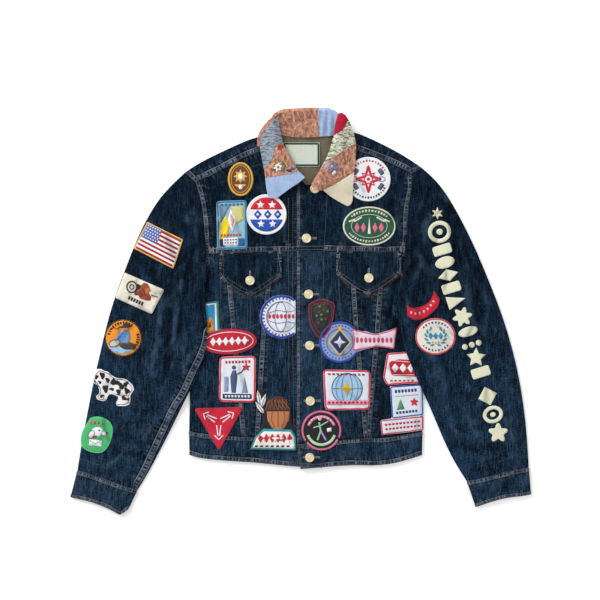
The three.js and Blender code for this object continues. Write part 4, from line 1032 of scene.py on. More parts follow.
class Patch:
    """One patch: its cloth, its overcast edge and what is worked on it.
    A patch without a node is part of the one before it, laid over by a height of its own."""

    def __init__(self, node, loop, cloth, edge=None, edge_width=3.4, sleeve=False, over=0.0):
        self.ground = sleeve_ground if sleeve else body_ground
        self.trim = trim_sleeve if sleeve else trim_body
        self.base = LIFT + over
        loop = np.asarray(loop, float)
        build = Build(self.trim.creases) if node else self.trim
        slab(build, loop, self.ground, self.base, THICK, thread(cloth), PATCH_CELL)
        if node:
            ob = build.make(node + "_cloth", node, "patch")
            lower = under(loop, SLEEVES if sleeve else BODY_TOP)
        if edge:
            self.edge(loop, edge_width, edge)

    def edge(self, loop, width, colour, lift=0.35):
        merrow(self.trim, loop, width, self.ground, self.base + lift, thread(colour))

    def lift(self, level):
        """How high a level of the embroidery starts: each is a little above the one before."""
        return self.base + THICK + LEVEL_STEP * (level - 1) - SUNK

    def fill(self, loop, colour, level=1, cell=5.0):
        slab(self.trim, loop, self.ground, self.lift(level), FILL_THICK, thread(colour), cell)

    def line(self, points, colour, width=1.2, level=3, closed=False):
        stroke(self.trim, points, width, self.ground, self.lift(level), LINE_THICK, thread(colour), closed)

    def each(self, loops, colour, level=2, cell=3.0):
        """Fill many small outlines in one colour."""
        for loop in loops:
            self.fill(loop, colour, level, cell)


# Thread colours with names; the rest stand where they are used.
WHITE, BLACK, NAVY = (236, 238, 240), (22, 20, 24), (26, 34, 84)
RED, FLAG_RED, LACQUER, WINE = (206, 24, 48), (168, 26, 40), (206, 32, 60), (132, 30, 58)
ROSE, HEART, BERRY = (206, 40, 70), (206, 40, 60), (180, 30, 60)
SKY, TEAL, ROYAL, SLATE = (150, 196, 226), (44, 122, 160), (30, 74, 170), (70, 84, 124)
GREEN, GOLD, ORANGE, YELLOW = (30, 92, 66), (222, 170, 60), (238, 148, 34), (236, 206, 24)
RUST, EARTH, COAL, MAPLE = (150, 70, 44), (70, 56, 40), (58, 40, 30), (216, 172, 74)
OVAL_GOLD, BONE, MINT = (216, 168, 52), (226, 222, 200), (150, 210, 150)
GLOBE_LINE, GLOBE_EDGE = (96, 104, 124), (50, 60, 110)

# Flag of plain stars and stripes on the wearer's right sleeve.
corners = [(-291, 170), (-223, 136), (-241, 81), (-317, 120)]
q = Square(*corners)
p = Patch("patch_flag", corners, WHITE, GOLD, 3.2, sleeve=True)
STRIPE = 0.92 / 13
for k in range(0, 13, 2):
    p.fill(q.rect(0.03, 0.04 + STRIPE * k, 0.97, 0.04 + STRIPE * (k + 1)), FLAG_RED, cell=6.0)
p.fill(q.rect(0.03, 0.04, 0.43, 0.04 + STRIPE * 7), (84, 104, 176), 2)
for i in range(6):
    for j in range(5):
        p.fill(star(q.point(0.07 + 0.064 * i + 0.02 * (j % 2), 0.085 + 0.094 * j), 2.1), WHITE, 3, cell=1.5)

# Cream rectangle with a ringed wheel and a brown beast.
corners = [(-334, 74), (-258, 41), (-282, -5), (-352, 26)]
q = Square(*corners)
p = Patch("patch_rect_cream", corners, (226, 220, 202), sleeve=True)
wheel = q.point(0.28, 0.38)
p.line(ellipse(wheel, 9.5, 10.5), BLACK, 2.6, closed=True)
p.line(ellipse(wheel, 4.2, 4.8), BLACK, 1.8, closed=True)
p.fill(q((0.37, 0.18), (0.5, 0.2), (0.5, 0.55), (0.4, 0.62)), BLACK)
p.fill(blob(q.point(0.6, 0.38), 13, 4), RUST, 3, cell=3)
p.fill(blob(q.point(0.5, 0.5), 6, 9), (120, 50, 34), 4, cell=2.5)
p.fill(blob(q.point(0.66, 0.28), 5, 12), (188, 96, 60), 5, cell=2.5)
p.line(q((0.52, 0.28), (0.6, 0.36), (0.66, 0.48)), (60, 26, 20), 1.2, 6)
p.line(q((0.78, 0.36), (0.88, 0.36), (0.94, 0.33)), RUST, 2.0)
p.each(q.row(6, 0.07, 0.3, 0.72, 0.35, 0.86), BLACK)

# Orange disc with a bent faceless figure in a hat, by a stream.
c = (-336, -50)
p = Patch("patch_disc_orange", ellipse(c, 35), ORANGE, BLACK, 2.4, sleeve=True)
p.fill(ellipse((-339, -58), 27, 22, 0, 195, 330), SKY, 2)
p.fill([(-344, -42), (-338, -34), (-326, -36), (-322, -48), (-326, -60), (-340, -60), (-350, -56),
        (-352, -50)],
       (110, 158, 216), 3)
p.fill([(-322, -58), (-312, -62), (-314, -72), (-334, -72), (-344, -66), (-340, -58)], EARTH, 3)
p.fill(ellipse((-331, -32), 6, 6), (212, 150, 108), 4, cell=3)
p.fill(ellipse((-330, -26), 7, 4.5), COAL, 5, cell=3)
p.fill(ellipse((-331, -28.5), 12, 2.2, 0.1), COAL, 6, cell=3)
bowl = ellipse((-353, -60), 11, 6.5, 0.3)
p.fill(bowl, (206, 196, 176), 4, cell=3)
p.line(bowl, EARTH, 1.2, 6, closed=True)
p.line([(-338, -40), (-346, -50), (-352, -56)], (86, 132, 196), 3.4, 6)
p.line([(-362, -34), (-354, -30), (-348, -34), (-342, -28)], (60, 36, 22), 1.4)
p.each(dashes(c, 29, 52, 170, 11, 4.0, 6), (70, 40, 24))
p.each(dashes(c, 28, -42, 18, 6, 4, 6.5), (50, 30, 20))

# Spotted cow.
cow = [(-395, -130), (-391, -116), (-387, -109), (-378, -109), (-372, -113), (-365, -114), (-359, -121),
       (-349, -126), (-336, -127), (-328, -130), (-319, -138), (-315, -147), (-319, -153), (-323, -159),
       (-322, -168), (-324, -176), (-332, -179), (-347, -179), (-351, -174), (-347, -168), (-345, -162),
       (-352, -159), (-359, -157), (-364, -158), (-368, -168), (-374, -170), (-386, -167), (-388, -160),
       (-381, -155), (-382, -148), (-384, -140), (-391, -137)]
COW_WHITE = (238, 236, 236)
p = Patch("patch_cow", rounded(cow, 2.5), COW_WHITE, COW_WHITE, 2.2, sleeve=True)
cow = np.array(cow)
p.line(rounded(cow + (cow.mean(0) - cow) * 0.09, 2.5), BLACK, 0.9, closed=True)
for x, y, r in ((-376, -121, 4.5), (-366, -130, 3.5), (-352, -134, 6), (-340, -141, 5), (-331, -137, 4),
                (-329, -150, 4.5), (-345, -152, 4), (-370, -146, 5), (-387, -124, 3), (-335, -164, 3.5),
                (-377, -160, 3), (-358, -147, 3), (-327, -166, 2.5), (-381, -134, 2.5)):
    p.fill(blob((x, y), r * 1.15, x), BLACK, 2, cell=2.5)
p.line([(-390, -131), (-386, -136), (-383, -142)], BLACK, 1.0)
p.fill(ellipse((-391, -133), 1.6), BLACK, 4, cell=1.5)
p.line([(-349, -157), (-338, -160), (-328, -158)], BLACK, 0.9)
p.line([(-376, -168), (-372, -160)], BLACK, 0.9)

# Green pebble with a pale dog and a letter card.
pebble = [(-399, -202), (-387, -199), (-372, -202), (-361, -210), (-356, -221), (-357, -234), (-362, -250),
          (-370, -262), (-380, -268), (-395, -267), (-408, -262), (-416, -254), (-417, -240), (-412, -223)]
p = Patch("patch_pebble_green", round_curve(pebble), (70, 180, 110), (90, 196, 128), 2.6, sleeve=True)
ear = ellipse((-397, -233), 5.5, 8.5, -0.4)
for loop in (ellipse((-385, -228), 12, 9), ear, ellipse((-373, -232), 6, 4.5)):
    p.fill(loop, WHITE)
p.line(ear, BLACK, 0.7, 4, closed=True)
p.line([(-379, -233), (-373, -236), (-368, -233)], BLACK, 0.8, 4)
p.fill(ellipse((-368, -230), 2.2, 1.8), BLACK, 4, cell=2)
p.fill(ellipse((-382, -225), 1.5), BLACK, 4, cell=1.5)
p.fill(ellipse((-390, -237), 4, 2.2, 0.4), RED, 4, cell=2)
p.each(dashes((-388, -236), 26, 55, 120, 4, 4, 6), RED, 3)
p.fill(box((-389, -249), 24, 12, -0.1), WHITE, 3)
p.line([(-400, -244), (-389, -251), (-378, -243)], GREEN, 0.8)

# Gold-edged brown oval with a sunburst.
c = (-114, 251)
p = Patch("patch_oval_gold", ellipse(c, 24, 32), (112, 62, 40), OVAL_GOLD, 4.4)
p.line(ellipse(c, 17.5, 25.5), OVAL_GOLD, 1.1, closed=True)
p.fill(star((-114, 256), 14, 8, 0.55), MAPLE, 2, cell=3)
p.fill(ellipse((-114, 256), 4.5, 6), WHITE, 3, cell=3)
p.fill(ellipse((-114, 241), 11, 6, 0, 180, 360, 20), MAPLE, 2, cell=3)
p.fill(ellipse((-114, 236), 4, 4.5), WHITE, 3, cell=3)

# Teal-edged banner of geometric pieces.
corners = [(-160, 209), (-103, 211), (-101, 119), (-158, 117)]
q = Square(*corners)
p = Patch("patch_banner_teal", rounded(corners, 5), (150, 186, 206), TEAL, 5.0)
for level, colour, loop in (
        (1, (120, 150, 176), q((0.09, 0.06), (0.5, 0.06), (0.09, 0.5))),
        (1, YELLOW, q((0.09, 0.5), (0.3, 0.3), (0.5, 0.5), (0.1, 0.78))),
        (1, (206, 200, 130), q((0.5, 0.12), (0.91, 0.12), (0.91, 0.4), (0.6, 0.5))),
        (3, WHITE, q((0.48, 0.16), (0.66, 0.4), (0.52, 0.66), (0.36, 0.4))),
        (2, YELLOW, q((0.1, 0.78), (0.34, 0.52), (0.42, 0.7), (0.2, 0.79))),
        (4, (214, 160, 150), q((0.44, 0.24), (0.6, 0.4), (0.5, 0.56))),
        (2, NAVY, q.rect(0.08, 0.78, 0.28, 0.94)),
        (2, (30, 96, 150), q.rect(0.66, 0.78, 0.92, 0.94)),
        (3, WHITE, q.rect(0.2, 0.76, 0.7, 0.92))):
    p.fill(loop, colour, level)
for k in range(5):
    for v in (0.79, 0.85):
        p.fill(q.rect(0.24 + 0.09 * k, v, 0.3 + 0.09 * k, v + 0.03), NAVY, 4, cell=3)
p.each(q.row(7, 0.1, 0.12, 0.68, 0.19, 0.73), (200, 90, 80), 4)
p.each(q.row(6, 0.13, 0.14, 0.055, 0.23, 0.1), TEAL, 4)

# Red, white and blue disc.
c = (-65, 184)
p = Patch("patch_disc_red_blue", ellipse(c, 38), WHITE, WHITE, 4.6)
p.fill(ellipse(c, 32.5, 32.5, 0, 17, 163), (206, 16, 44))
p.fill(ellipse(c, 32.5, 32.5, 0, 197, 343), ROYAL)
for x in (-77, -55):
    p.fill(star((x + 1, 202), 8.5), WHITE, 3, cell=3)
    p.fill(star((x + 2, 166), 8), WHITE, 3, cell=3)
for x in (-81.5, -62.5, -43.5):
    p.fill(lozenge((x, 184), 7.5, 9), ROYAL, 2, cell=3)
    p.fill(ellipse((x, 184), 2.4), WHITE, 4, cell=2)

# White disc with a red looped figure.
c = (128, 251)
p = Patch("patch_disc_white", ellipse(c, 42), WHITE, WHITE, 3.6)
p.line(star(c, 25, 4, 0.3), RED, 4.4, closed=True)
p.line(star(c, 17, 4, 0.42, 45), RED, 2.0, closed=True)
p.line(ellipse(c, 13, 8), (120, 130, 160), 1.4, closed=True)
p.fill(ellipse(c, 3), RED, 4, cell=2)
for s in (-1, 1):
    for t in (-1, 1):
        p.fill(box((c[0] + s * 24, c[1] + t * 14), 9, 13, s * t * 0.6), (90, 90, 120))
    p.line(ellipse((c[0] + s * 25, c[1]), 7, 4.5), (130, 140, 170), 1.6, closed=True)
p.each(dashes(c, 35, 25, 165, 15, 3.6, 4.6), (214, 60, 80))
p.each(dashes(c, 35, 205, 335, 15, 3.4, 4.6), (40, 40, 60))

# Green oval with bolts and a tower.
c = (130, 162)
p = Patch("patch_oval_green", ellipse(c, 50, 37), (28, 84, 62), BONE, 3.6)
p.line(ellipse(c, 34, 22), BONE, 1.0, closed=True)
for s in (-1, 1):
    p.line(np.array([(s * 39, 8), (s * 27, 13), (s * 29, 8), (s * 14, 17)]) + c, BONE, 3.0)
    for x in (s * 11, s * 23):
        p.fill(lozenge((c[0] + x, c[1] - 3), 5, 10), (222, 110, 140), 2, cell=3)
p.fill(np.array([(-3, -15), (0, 18), (3, -15)]) + c, BONE, 2, cell=2.5)
p.each(dashes(c, 42, 35, 145, 13, 4, 5, 29), BONE)
p.each(dashes(c, 42, 205, 335, 17, 3.6, 4.6, 29), BONE)

# Cyan strip, part under the sleeve, and the red oval over its foot.
strip = [(-184, 16), (-156, 20), (-153, -40), (-186, -44)]
both = np.vstack([[(-184, 16), (-156, 20), (-154, -34)], ellipse((-136, -57), 53, 24, 0.05, 76, -192, 40)])
p = Patch("patch_strip_and_oval_red", both, (30, 150, 200))
p.edge(strip, 3.0, (40, 110, 70))
q = Square(*strip)
p.fill(q.rect(0.74, 0.06, 0.86, 0.95), WHITE)
p.fill(q.rect(0.1, 0.05, 0.8, 0.09), WHITE)
p.fill(q((0.2, 0.95), (0.24, 0.6), (0.45, 0.45), (0.62, 0.6), (0.66, 0.95)), (232, 146, 40))
p.fill(q((0.34, 0.8), (0.44, 0.56), (0.5, 0.8)), (60, 50, 40), 2, cell=2.5)
c = (-136, -57)
p = Patch(None, ellipse(c, 53, 24, 0.05), (196, 24, 50), (176, 20, 46), 3.0, over=0.7)
p.line(ellipse(c, 46, 18, 0.05), WHITE, 1.4, closed=True)
for k in range(6):
    x, y = -166 + 12 * k, -57.5 + 0.5 * k
    p.fill(lozenge((x, y), 5.5, 8.5), WHITE, 2, cell=2.5)
    p.fill(ellipse((x + 6, y + 0.5), 1.5), WHITE, 2, cell=1.5)

# Red-edged white rectangle with a dark faceless figure and a flower.
corners = [(-154, -86), (-85, -84), (-86, -172), (-155, -171)]
q = Square(*corners)
p = Patch("patch_rect_flower", rounded(corners, 9), (228, 232, 240), (206, 30, 56), 4.4)
p.fill(q.rect(0.1, 0.82, 0.9, 0.93), NAVY)
p.fill(q((0.3, 0.44), (0.36, 0.3), (0.46, 0.3), (0.5, 0.44), (0.46, 0.8), (0.34, 0.8)), SLATE)
p.fill(ellipse(q.point(0.4, 0.24), 4.4), SLATE)
p.line(q((0.46, 0.4), (0.62, 0.34), (0.7, 0.22)), SLATE, 2.4)
p.fill(wavy(q.point(0.74, 0.24), 3.5, 8, 5), (214, 36, 60), 3, cell=2.5)
p.fill(q((0.62, 0.8), (0.7, 0.44), (0.8, 0.8)), (130, 146, 180))
p.each(q.row(8, 0.09, 0.16, 0.09, 0.22, 0.15), (206, 40, 66))
p.each(q.row(8, 0.09, 0.16, 0.85, 0.22, 0.9), WHITE, 3)
p.fill(q.rect(0.13, 0.44, 0.26, 0.78), (150, 164, 196))

# Red triangle with three pale arrows.
tri = np.array([(-202, -184), (-109, -181), (-155, -264)], float)
p = Patch("patch_triangle_red", rounded(tri, 5), (204, 26, 54), (190, 20, 48), 3.0)
mid = tri.mean(0)
for corner in tri:
    out = (corner - mid) / np.linalg.norm(corner - mid)
    side = np.array((-out[1], out[0]))
    for s in (1, -1):
        p.line([mid + out * 6 + side * 4 * s, mid + out * 26 + side * 1.5 * s], WHITE, 2.2)
    p.line([mid + out * 25 - side * 8, mid + out * 33, mid + out * 25 + side * 8], WHITE, 2.0)

# Dark-edged piece: an acorn with a spray of pale leaves, over a band of diamonds edged in teal.
shape = [(-97, -262), (-89, -238), (-79, -228), (-71, -209), (-73, -197), (-81, -188), (-86, -178),
         (-86, -156), (-79, -145), (-71, -149), (-63, -164), (-49, -159), (-33, -161), (-22, -177),
         (-17, -197), (-17, -212), (-10, -226), (-8, -238), (-7, -265)]
p = Patch("patch_round_and_band", shape, (24, 24, 30))
LEAF = [(-13, 0), (-6, -3.6), (4, -3.8), (15, 0), (4, 3.8), (-6, 3.6)]
for k, (x, y, turn) in enumerate(((-79, -164, 1.75), (-71, -170, 1.25), (-77, -183, 2.2))):
    p.fill(at((x, y), LEAF, turn), WHITE, 2 + k, cell=2.5)
    p.line(at((x, y), [(-12, 0), (11, 0)], turn), (120, 30, 40), 1.1, 6)
p.fill([(-65, -184), (-63, -206), (-55, -220), (-43, -228), (-30, -220), (-22, -206), (-21, -184)],
       (190, 122, 80), cell=4)
for x, bow in ((-54, -5), (-43, 0), (-32, 5)):
    p.line(curve([(x, -190), (x + bow * 0.3, -205), (x - bow * 0.9, -219)], 3), (134, 78, 50), 1.3)
cup = [(-69, -189), (-63, -170), (-50, -162), (-35, -162), (-24, -171), (-18, -189)]
p.fill(rounded(cup, 5), (74, 44, 34), 3, cell=3)
for k in range(6):
    p.line([(-66 + 8 * k, -186), (-60 + 6.4 * k, -166)], (150, 98, 66), 1.0, 5)
    p.line([(-60 + 8 * k, -186), (-60 + 5 * k, -168)], (150, 98, 66), 1.0, 5)
band = [(-95, -261), (-87, -238), (-70, -222), (-18, -224), (-10, -236), (-9, -263), (-50, -262)]
p.fill(band, (40, 150, 160), 4)
band = [(-91, -258), (-84, -240), (-70, -227), (-20, -228), (-13, -238), (-12, -260), (-50, -259)]
p.fill(band, (236, 232, 226), 5)
for k in range(6):
    p.fill(lozenge((-76 + 11 * k, -240), 5.2, 9), (200, 22, 44), 6, cell=2.5)
p.each(bars(7, 10, -84, -255, 6, 3.4), NAVY, 6)

# White globe disc with a blue edge, cut by the front edge.
c = (-36, -10)
cut = ellipse(c, 41.5)
cut[:, 0] = np.minimum(cut[:, 0], -9.5)
p = Patch("patch_disc_blue_rim", cut, (226, 232, 244))
p.line(ellipse(c, 39, 39, 0, 52, 308, 60), (44, 62, 168), 4.6, 2)
p.line(ellipse(c, 29, 29, 0, 27, 333, 50), GLOBE_LINE, 1.0)
p.line(ellipse((-38, -10), 11, 28, n=40), GLOBE_LINE, 1.0, closed=True)
p.line(ellipse((-38, -10), 25, 28, 0, 78, 282, 40), GLOBE_LINE, 1.0)
for y in (-12, 12):
    p.line(curve(np.array([(-25, y * 0.6), (-8, y), (10, y * 0.8), (25, y)]) + c, 3), GLOBE_LINE, 1.0)
for k in range(7):
    p.fill(ellipse((-59 + 7.4 * k, -9), 2.6, 4.6), ROSE, 4, cell=2)
p.each(dashes(c, 34.5, 58, 300, 22, 3.2, 4.4), (60, 70, 150))

# Pale-blue disc with a bow of ribbon.
c = (74, -58)
bow = [(122, -36), (141, -43), (162, -37), (183, -31), (179, -52), (177, -70), (160, -68), (143, -66),
       (122, -72)]
p = Patch("patch_disc_and_bow", np.vstack([ellipse(c, 39, 39, 0, -28, -335, 44), bow]), (128, 166, 214))
p.line(ellipse(c, 37, 37, 0, 30, 330, 60), (50, 70, 170), 4.2, 2)
p.fill([(74, -36), (92, -58), (74, -80), (56, -58)], (36, 50, 96), 3, cell=3)
p.line([(74, -33), (95, -58), (74, -83), (53, -58)], (222, 190, 90), 2.6, 4, closed=True)
p.line(ellipse(c, 25), (170, 30, 60), 1.4, closed=True)
p.fill(star((75, -33), 7), GOLD, 4, cell=2.5)
p.each(dashes(c, 31, 40, 320, 24, 2.6, 4), (110, 40, 80))
p.fill(star(c, 12, 4, 0.4), (216, 224, 238), 5, cell=2.5)
ribbon = [(97, -33), (118, -38), (141, -43), (162, -38), (183, -30), (179, -52), (177, -71), (160, -68),
          (143, -66), (122, -71), (99, -74), (101, -54)]
p = Patch(None, rounded(ribbon, 3), (236, 214, 226), (214, 70, 110), 3.0, over=0.6)
for k in range(9):
    p.fill(ellipse((107 + 8 * k, -54), 2.6, 5.4 - 0.5 * (k % 2)), (196, 60, 110), 3, cell=2)

# Dark shield with a bunch of berries.
shield = [(15, 14), (27, 21), (38, 24), (51, 21), (64, 14), (63, -2), (60, -22), (52, -39), (38, -51),
          (25, -39), (17, -22), (15, -2)]
p = Patch("patch_shield_dark", round_curve(shield), (24, 34, 34), WINE, 3.0, over=0.4)
p.line(round_curve([(21, 10), (39, 17), (58, 10), (56, -18), (39, -42), (22, -18)]), WINE, 1.2, closed=True)
p.each(bars(5, 6, 27, 14, 3.6, 3), (150, 40, 66), 3, 2.5)
p.fill(ellipse((39, 2), 15, 12), (28, 58, 48))
p.fill(ellipse((39, -22), 12, 12), (30, 44, 40))
for k in range(9):
    turn, out = k * 2.4, math.sqrt(k)
    berry = ellipse((39 + 4.5 * out * math.cos(turn), -6 + 6.5 * out * math.sin(turn)), 2.2)
    p.fill(berry, (170, 24, 44) if k % 2 else (110, 140, 90), 4, cell=2)

# Globe rectangle.
corners = [(42, -110), (132, -112), (131, -186), (46, -187)]
q = Square(*corners)
p = Patch("patch_rect_globe", rounded(corners, 8), (226, 230, 240), LACQUER, 4.2)
x, y = g = q.point(0.5, 0.46)
p.fill(ellipse(g, 29), (160, 200, 232))
p.line(ellipse(g, 29), GLOBE_EDGE, 1.2, closed=True)
for r in (10, 21):
    p.line(ellipse(g, r, 29), GLOBE_EDGE, 0.8, closed=True)
p.line([(x - 28, y), (x + 28, y)], GLOBE_EDGE, 0.8)
p.fill(star(g, 17, 4, 0.3), (222, 186, 40), 4)
plate = [(x - 40, y - 22), (x + 40, y - 22), (x + 40, y - 31), (x - 40, y - 31)]
p.fill(rounded(plate, 3), (226, 150, 170), 4)
p.each(bars(10, 7.6, x - 34, y - 26.5, 5, 4), BERRY, 5)
p.each(q.row(9, 0.09, 0.1, 0.08, 0.16, 0.13), (180, 60, 90))

# Black disc with a pink edge and a pale figure of bars.
c = (39, -225)
p = Patch("patch_disc_pink_rim", ellipse(c, 37.5), (28, 26, 34), (226, 110, 150), 4.4)
p.line(ellipse(c, 26, 26, 0, 20, 160, 30), (230, 130, 170), 5.0)
p.line(ellipse(c, 27, 27, 0, 200, 340, 30), (176, 214, 168), 5.0)
p.line([(31, -246), (38, -226), (35, -210)], MINT, 3.2)
p.line([(38, -226), (48, -244)], (190, 160, 214), 3.0)
p.line([(24, -220), (38, -216), (52, -208)], MINT, 2.4)
p.fill(ellipse((36, -203), 3.6), (226, 200, 180), 4, cell=2.5)
p.fill(box((54, -224), 9, 7, 0.2), WHITE, 3)
p.each(dashes(c, 26, 25, 155, 9, 2.6, 3.2), WHITE, 5)

# Red lozenge rectangle, part under the sleeve.
shape = [(164, -79), (184, -78), (206, -76), (213, -96), (222, -116), (232, -136), (196, -137), (164, -140),
         (156, -126), (160, -102)]
p = Patch("patch_lozenge_red", rounded(shape, 3), (234, 232, 236), LACQUER, 4.0)
red = [(166, -96), (186, -90), (210, -92), (219, -112), (222, -124), (196, -122), (172, -122)]
p.fill(rounded(red, 5), (196, 20, 48))
for x in (179, 194, 209):
    p.fill(lozenge((x, -107), 7, 9), WHITE, 3, cell=3)
p.line([(170, -93), (188, -94), (210, -96)], WHITE, 1.2)
p.line([(174, -120), (190, -120), (216, -120)], WHITE, 1.2)
p.each(bars(6, 8, 172, -131, 5, 3), (196, 40, 64))

# Blue-edged square and the strip under it.
both = [(169, -142), (199, -140), (231, -138), (233, -195), (233, -225), (193, -230), (154, -234),
        (151, -206), (173, -203)]
p = Patch("patch_rect_blue_and_strip", both, (222, 228, 236))
upper = [(169, -142), (231, -138), (233, -196), (173, -203)]
lower = [(151, -206), (233, -198), (233, -225), (154, -234)]
p.edge(rounded(lower, 4), 3.0, LACQUER, 0.4)
p.edge(rounded(upper, 4), 3.0, (44, 84, 170), 0.5)
q = Square(*upper)
p.fill(wavy(q.point(0.72, 0.55), 4, 8, 5), HEART, 3, cell=2.5)
p.fill(q((0.16, 0.75), (0.3, 0.4), (0.42, 0.75)), (90, 150, 110))
for v0, v1 in ((0.12, 0.22), (0.8, 0.88)):
    p.each(q.row(7, 0.1, 0.14, v0, 0.21, v1), (40, 60, 130))
p.line(q((0.15, 0.32), (0.85, 0.32)), (120, 150, 200), 1.0)
q = Square(*lower)
for k in range(10):
    for v in (0.28, 0.58):
        p.fill(q.rect(0.09 + 0.085 * k, v, 0.15 + 0.085 * k, v + 0.14), (196, 30, 56), 2, cell=3)

# Red ribbon and the laurel disc on the wearer's left sleeve.
outer = curve([(201, 13), (208, 7), (223, 8), (238, 14), (247, 24), (252, 40)], 4)
inner = curve([(202, -9), (217, -16), (234, -12), (247, -3), (259, 10), (263, 24)], 4)
p = Patch("patch_ribbon_red", np.vstack([outer, inner[::-1]]), (216, 24, 54), (176, 20, 44), 2.4, sleeve=True)
for x, y, turn in ((209, -2, 0), (217, -4, 0), (225, -3, 0.1), (233, 0, 0.3), (240, 5, 0.6), (246, 12, 0.8),
                   (251, 19, 1.0)):
    p.fill(box((x, y), 3.6, 5.0, turn), (236, 190, 200), 3, cell=3)
c = (255, -47)
p = Patch("patch_disc_laurel", ellipse(c, 38, 34.5), (232, 226, 216), (206, 50, 66), 3.6, sleeve=True)
for s in (-1, 1):
    for a in np.radians(np.arange(-70, 70, 26)):
        leaf = (c[0] + s * 19 * math.cos(a), c[1] + 17 * math.sin(a))
        p.fill(ellipse(leaf, 4.6, 2.0, s * (a + 0.9)), (60, 160, 150), 3, cell=2.5)
for x in (-9.5, 0, 9.5):
    p.fill(lozenge((c[0] + x, c[1] + 1), 4.8, -7), (20, 150, 190), 3, cell=2.5)
for a in (35, 215):
    p.each(dashes(c, 30, a, a + 110, 9, 3.6, 4.4, 26.5), (40, 60, 120))
p.each(dashes(c, 12, 230, 310, 3, 3, 4), (226, 90, 120), 3)

# ---------------------------------------------------------------- cream motifs down the wearer's left sleeve
SLEEVE_CREAM = thread((230, 230, 202))
# The way the row of motifs runs.
ROW_TURN = -1.27


def disc(c, w, h):
    return at(c, ellipse((0, 0), w, h), ROW_TURN)


def bar(c):
    return rounded(at(c, box((0, 0), 19, 36), ROW_TURN), 4)


# A motif with a width is a ring of thread that wide; the others are filled.
MOTIFS = [
    (None, star((259, 186), 12, 6, 0.45)),
    (8.0, disc((263, 151), 17, 18.5)),
    (None, disc((263, 151), 6, 6)),
    (None, bar((268, 117))),
    (None, disc((273, 93), 11, 19)),
    (None, at((279, 69), lozenge((0, 0), 11.5, -20), ROW_TURN)),
    (None, bar((285, 45))),
    (None, at((294, 20), [(-13, -17), (13, -17), (0, 19)], ROW_TURN)),
    (None, wavy((306, -10), 11, 19, 6)),
    (None, disc((317, -38), 9, 19)),
    *((None, disc((324 + 13 * k, -63 + 4 * k), 5.5, 5.5)) for k in (-1, 0, 1)),
    (None, star((332, -87), 19, 5, 0.5, 17)),
    (None, bar((341, -115))),
    (None, at((354, -160), box((0, 0), 26, 26, math.pi / 4), ROW_TURN)),
    (7.0, disc((364, -195), 13, 16)),
    (None, disc((364, -195), 4.5, 5.5)),
    (None, wavy((374, -230), 11, 19, 5)),
]
for width, loop in MOTIFS:
    if width:
        stroke(trim_sleeve, loop, width, sleeve_ground, lift=0.15, thick=0.7, mat=SLEEVE_CREAM, closed=True)
    else:
        slab(trim_sleeve, loop, sleeve_ground, lift=0.2, thick=0.35, mat=SLEEVE_CREAM, cell=2.6)

# ---------------------------------------------------------------- flaps, collar, facing and label
for node, line, seed in (("flap_right", FLAP_R, 31), ("flap_left", FLAP_L, 33)):
    cloth_piece(node, FINE, BODY_CREASES, [(line, 7, seed)])
flap_ground = Ground(FLAPS + BODY_TOP, 0)


def soft_piece(node, level, cloth, bulge, spread=0.35):
    """Collar cloth, spread by some millimetres so that its seams with its neighbours close."""
    me = grown(node, level, 1.0, 0.2)
    v = read(me, "co")
    v[:, :2] += read(me, "normal")[:, :2] * spread * MM
    z, dark = bulge(v[:, :2] / MM, v[:, 2] / MM)
    v[:, 2] += z * MM
    move_to(me, v)
    # The bulge also gives painted shade for its hollows.
    attribute(me, "dark", np.clip(dark, 0, 1))
    pieces[node] = finish_piece(me, node + "_cloth", node, [CLOTHS[cloth]])


def ripple(P, sx, sy, seed):
    """Made-up soft waves of about the sizes given, from -2 to 2."""
    r = np.random.default_rng(seed)
    x, y = P.T
    out = np.zeros(len(P))
    for _ in range(6):
        k = r.uniform(0.7, 1.5)
        along = np.sin(x / sx * k + r.uniform(0, 6) + 1.2 * np.sin(y / sy * 0.7 + r.uniform(0, 6)))
        out += along * np.cos(y / sy * r.uniform(0.5, 1.2) + r.uniform(0, 6))
    return out / 3


# Below this height, in millimetres, a collar piece keeps its form.
COLLAR_FOOT = 2.5


def quilting(seed, size, amp):
    """Crinkles running every way, as where padded cloth is stitched down and has shrunk."""
    def bulge(P, z):
        r = np.random.default_rng(seed)
        x, y = P.T
        w = np.zeros(len(P))
        for _ in range(12):
            a, k = r.normal(1.2, 0.75), 2 * np.pi / (size * r.uniform(0.7, 1.8))
            bend = 1.6 * np.sin(y / size * r.uniform(0.3, 0.8) + r.uniform(0, 6))
            w += np.sin(k * (x * math.sin(a) + y * math.cos(a)) + bend + r.uniform(0, 6))
        w = 1 - 0.5 * np.abs(w)
        # The hollows of the crinkles are given painted shade.
        return amp * np.clip(w, -1.2, 1) * (z > COLLAR_FOOT), np.clip(0.14 - w * 0.26, 0, 0.5)
    return bulge


def rumple(seed, sx, sy, amp):
    """Soft waves, shaded in their hollows."""
    def bulge(P, z):
        w = ripple(P, sx, sy, seed)
        return amp * w * (z > COLLAR_FOOT), np.clip(-w * 0.25 - 0.05, 0, 0.3)
    return bulge


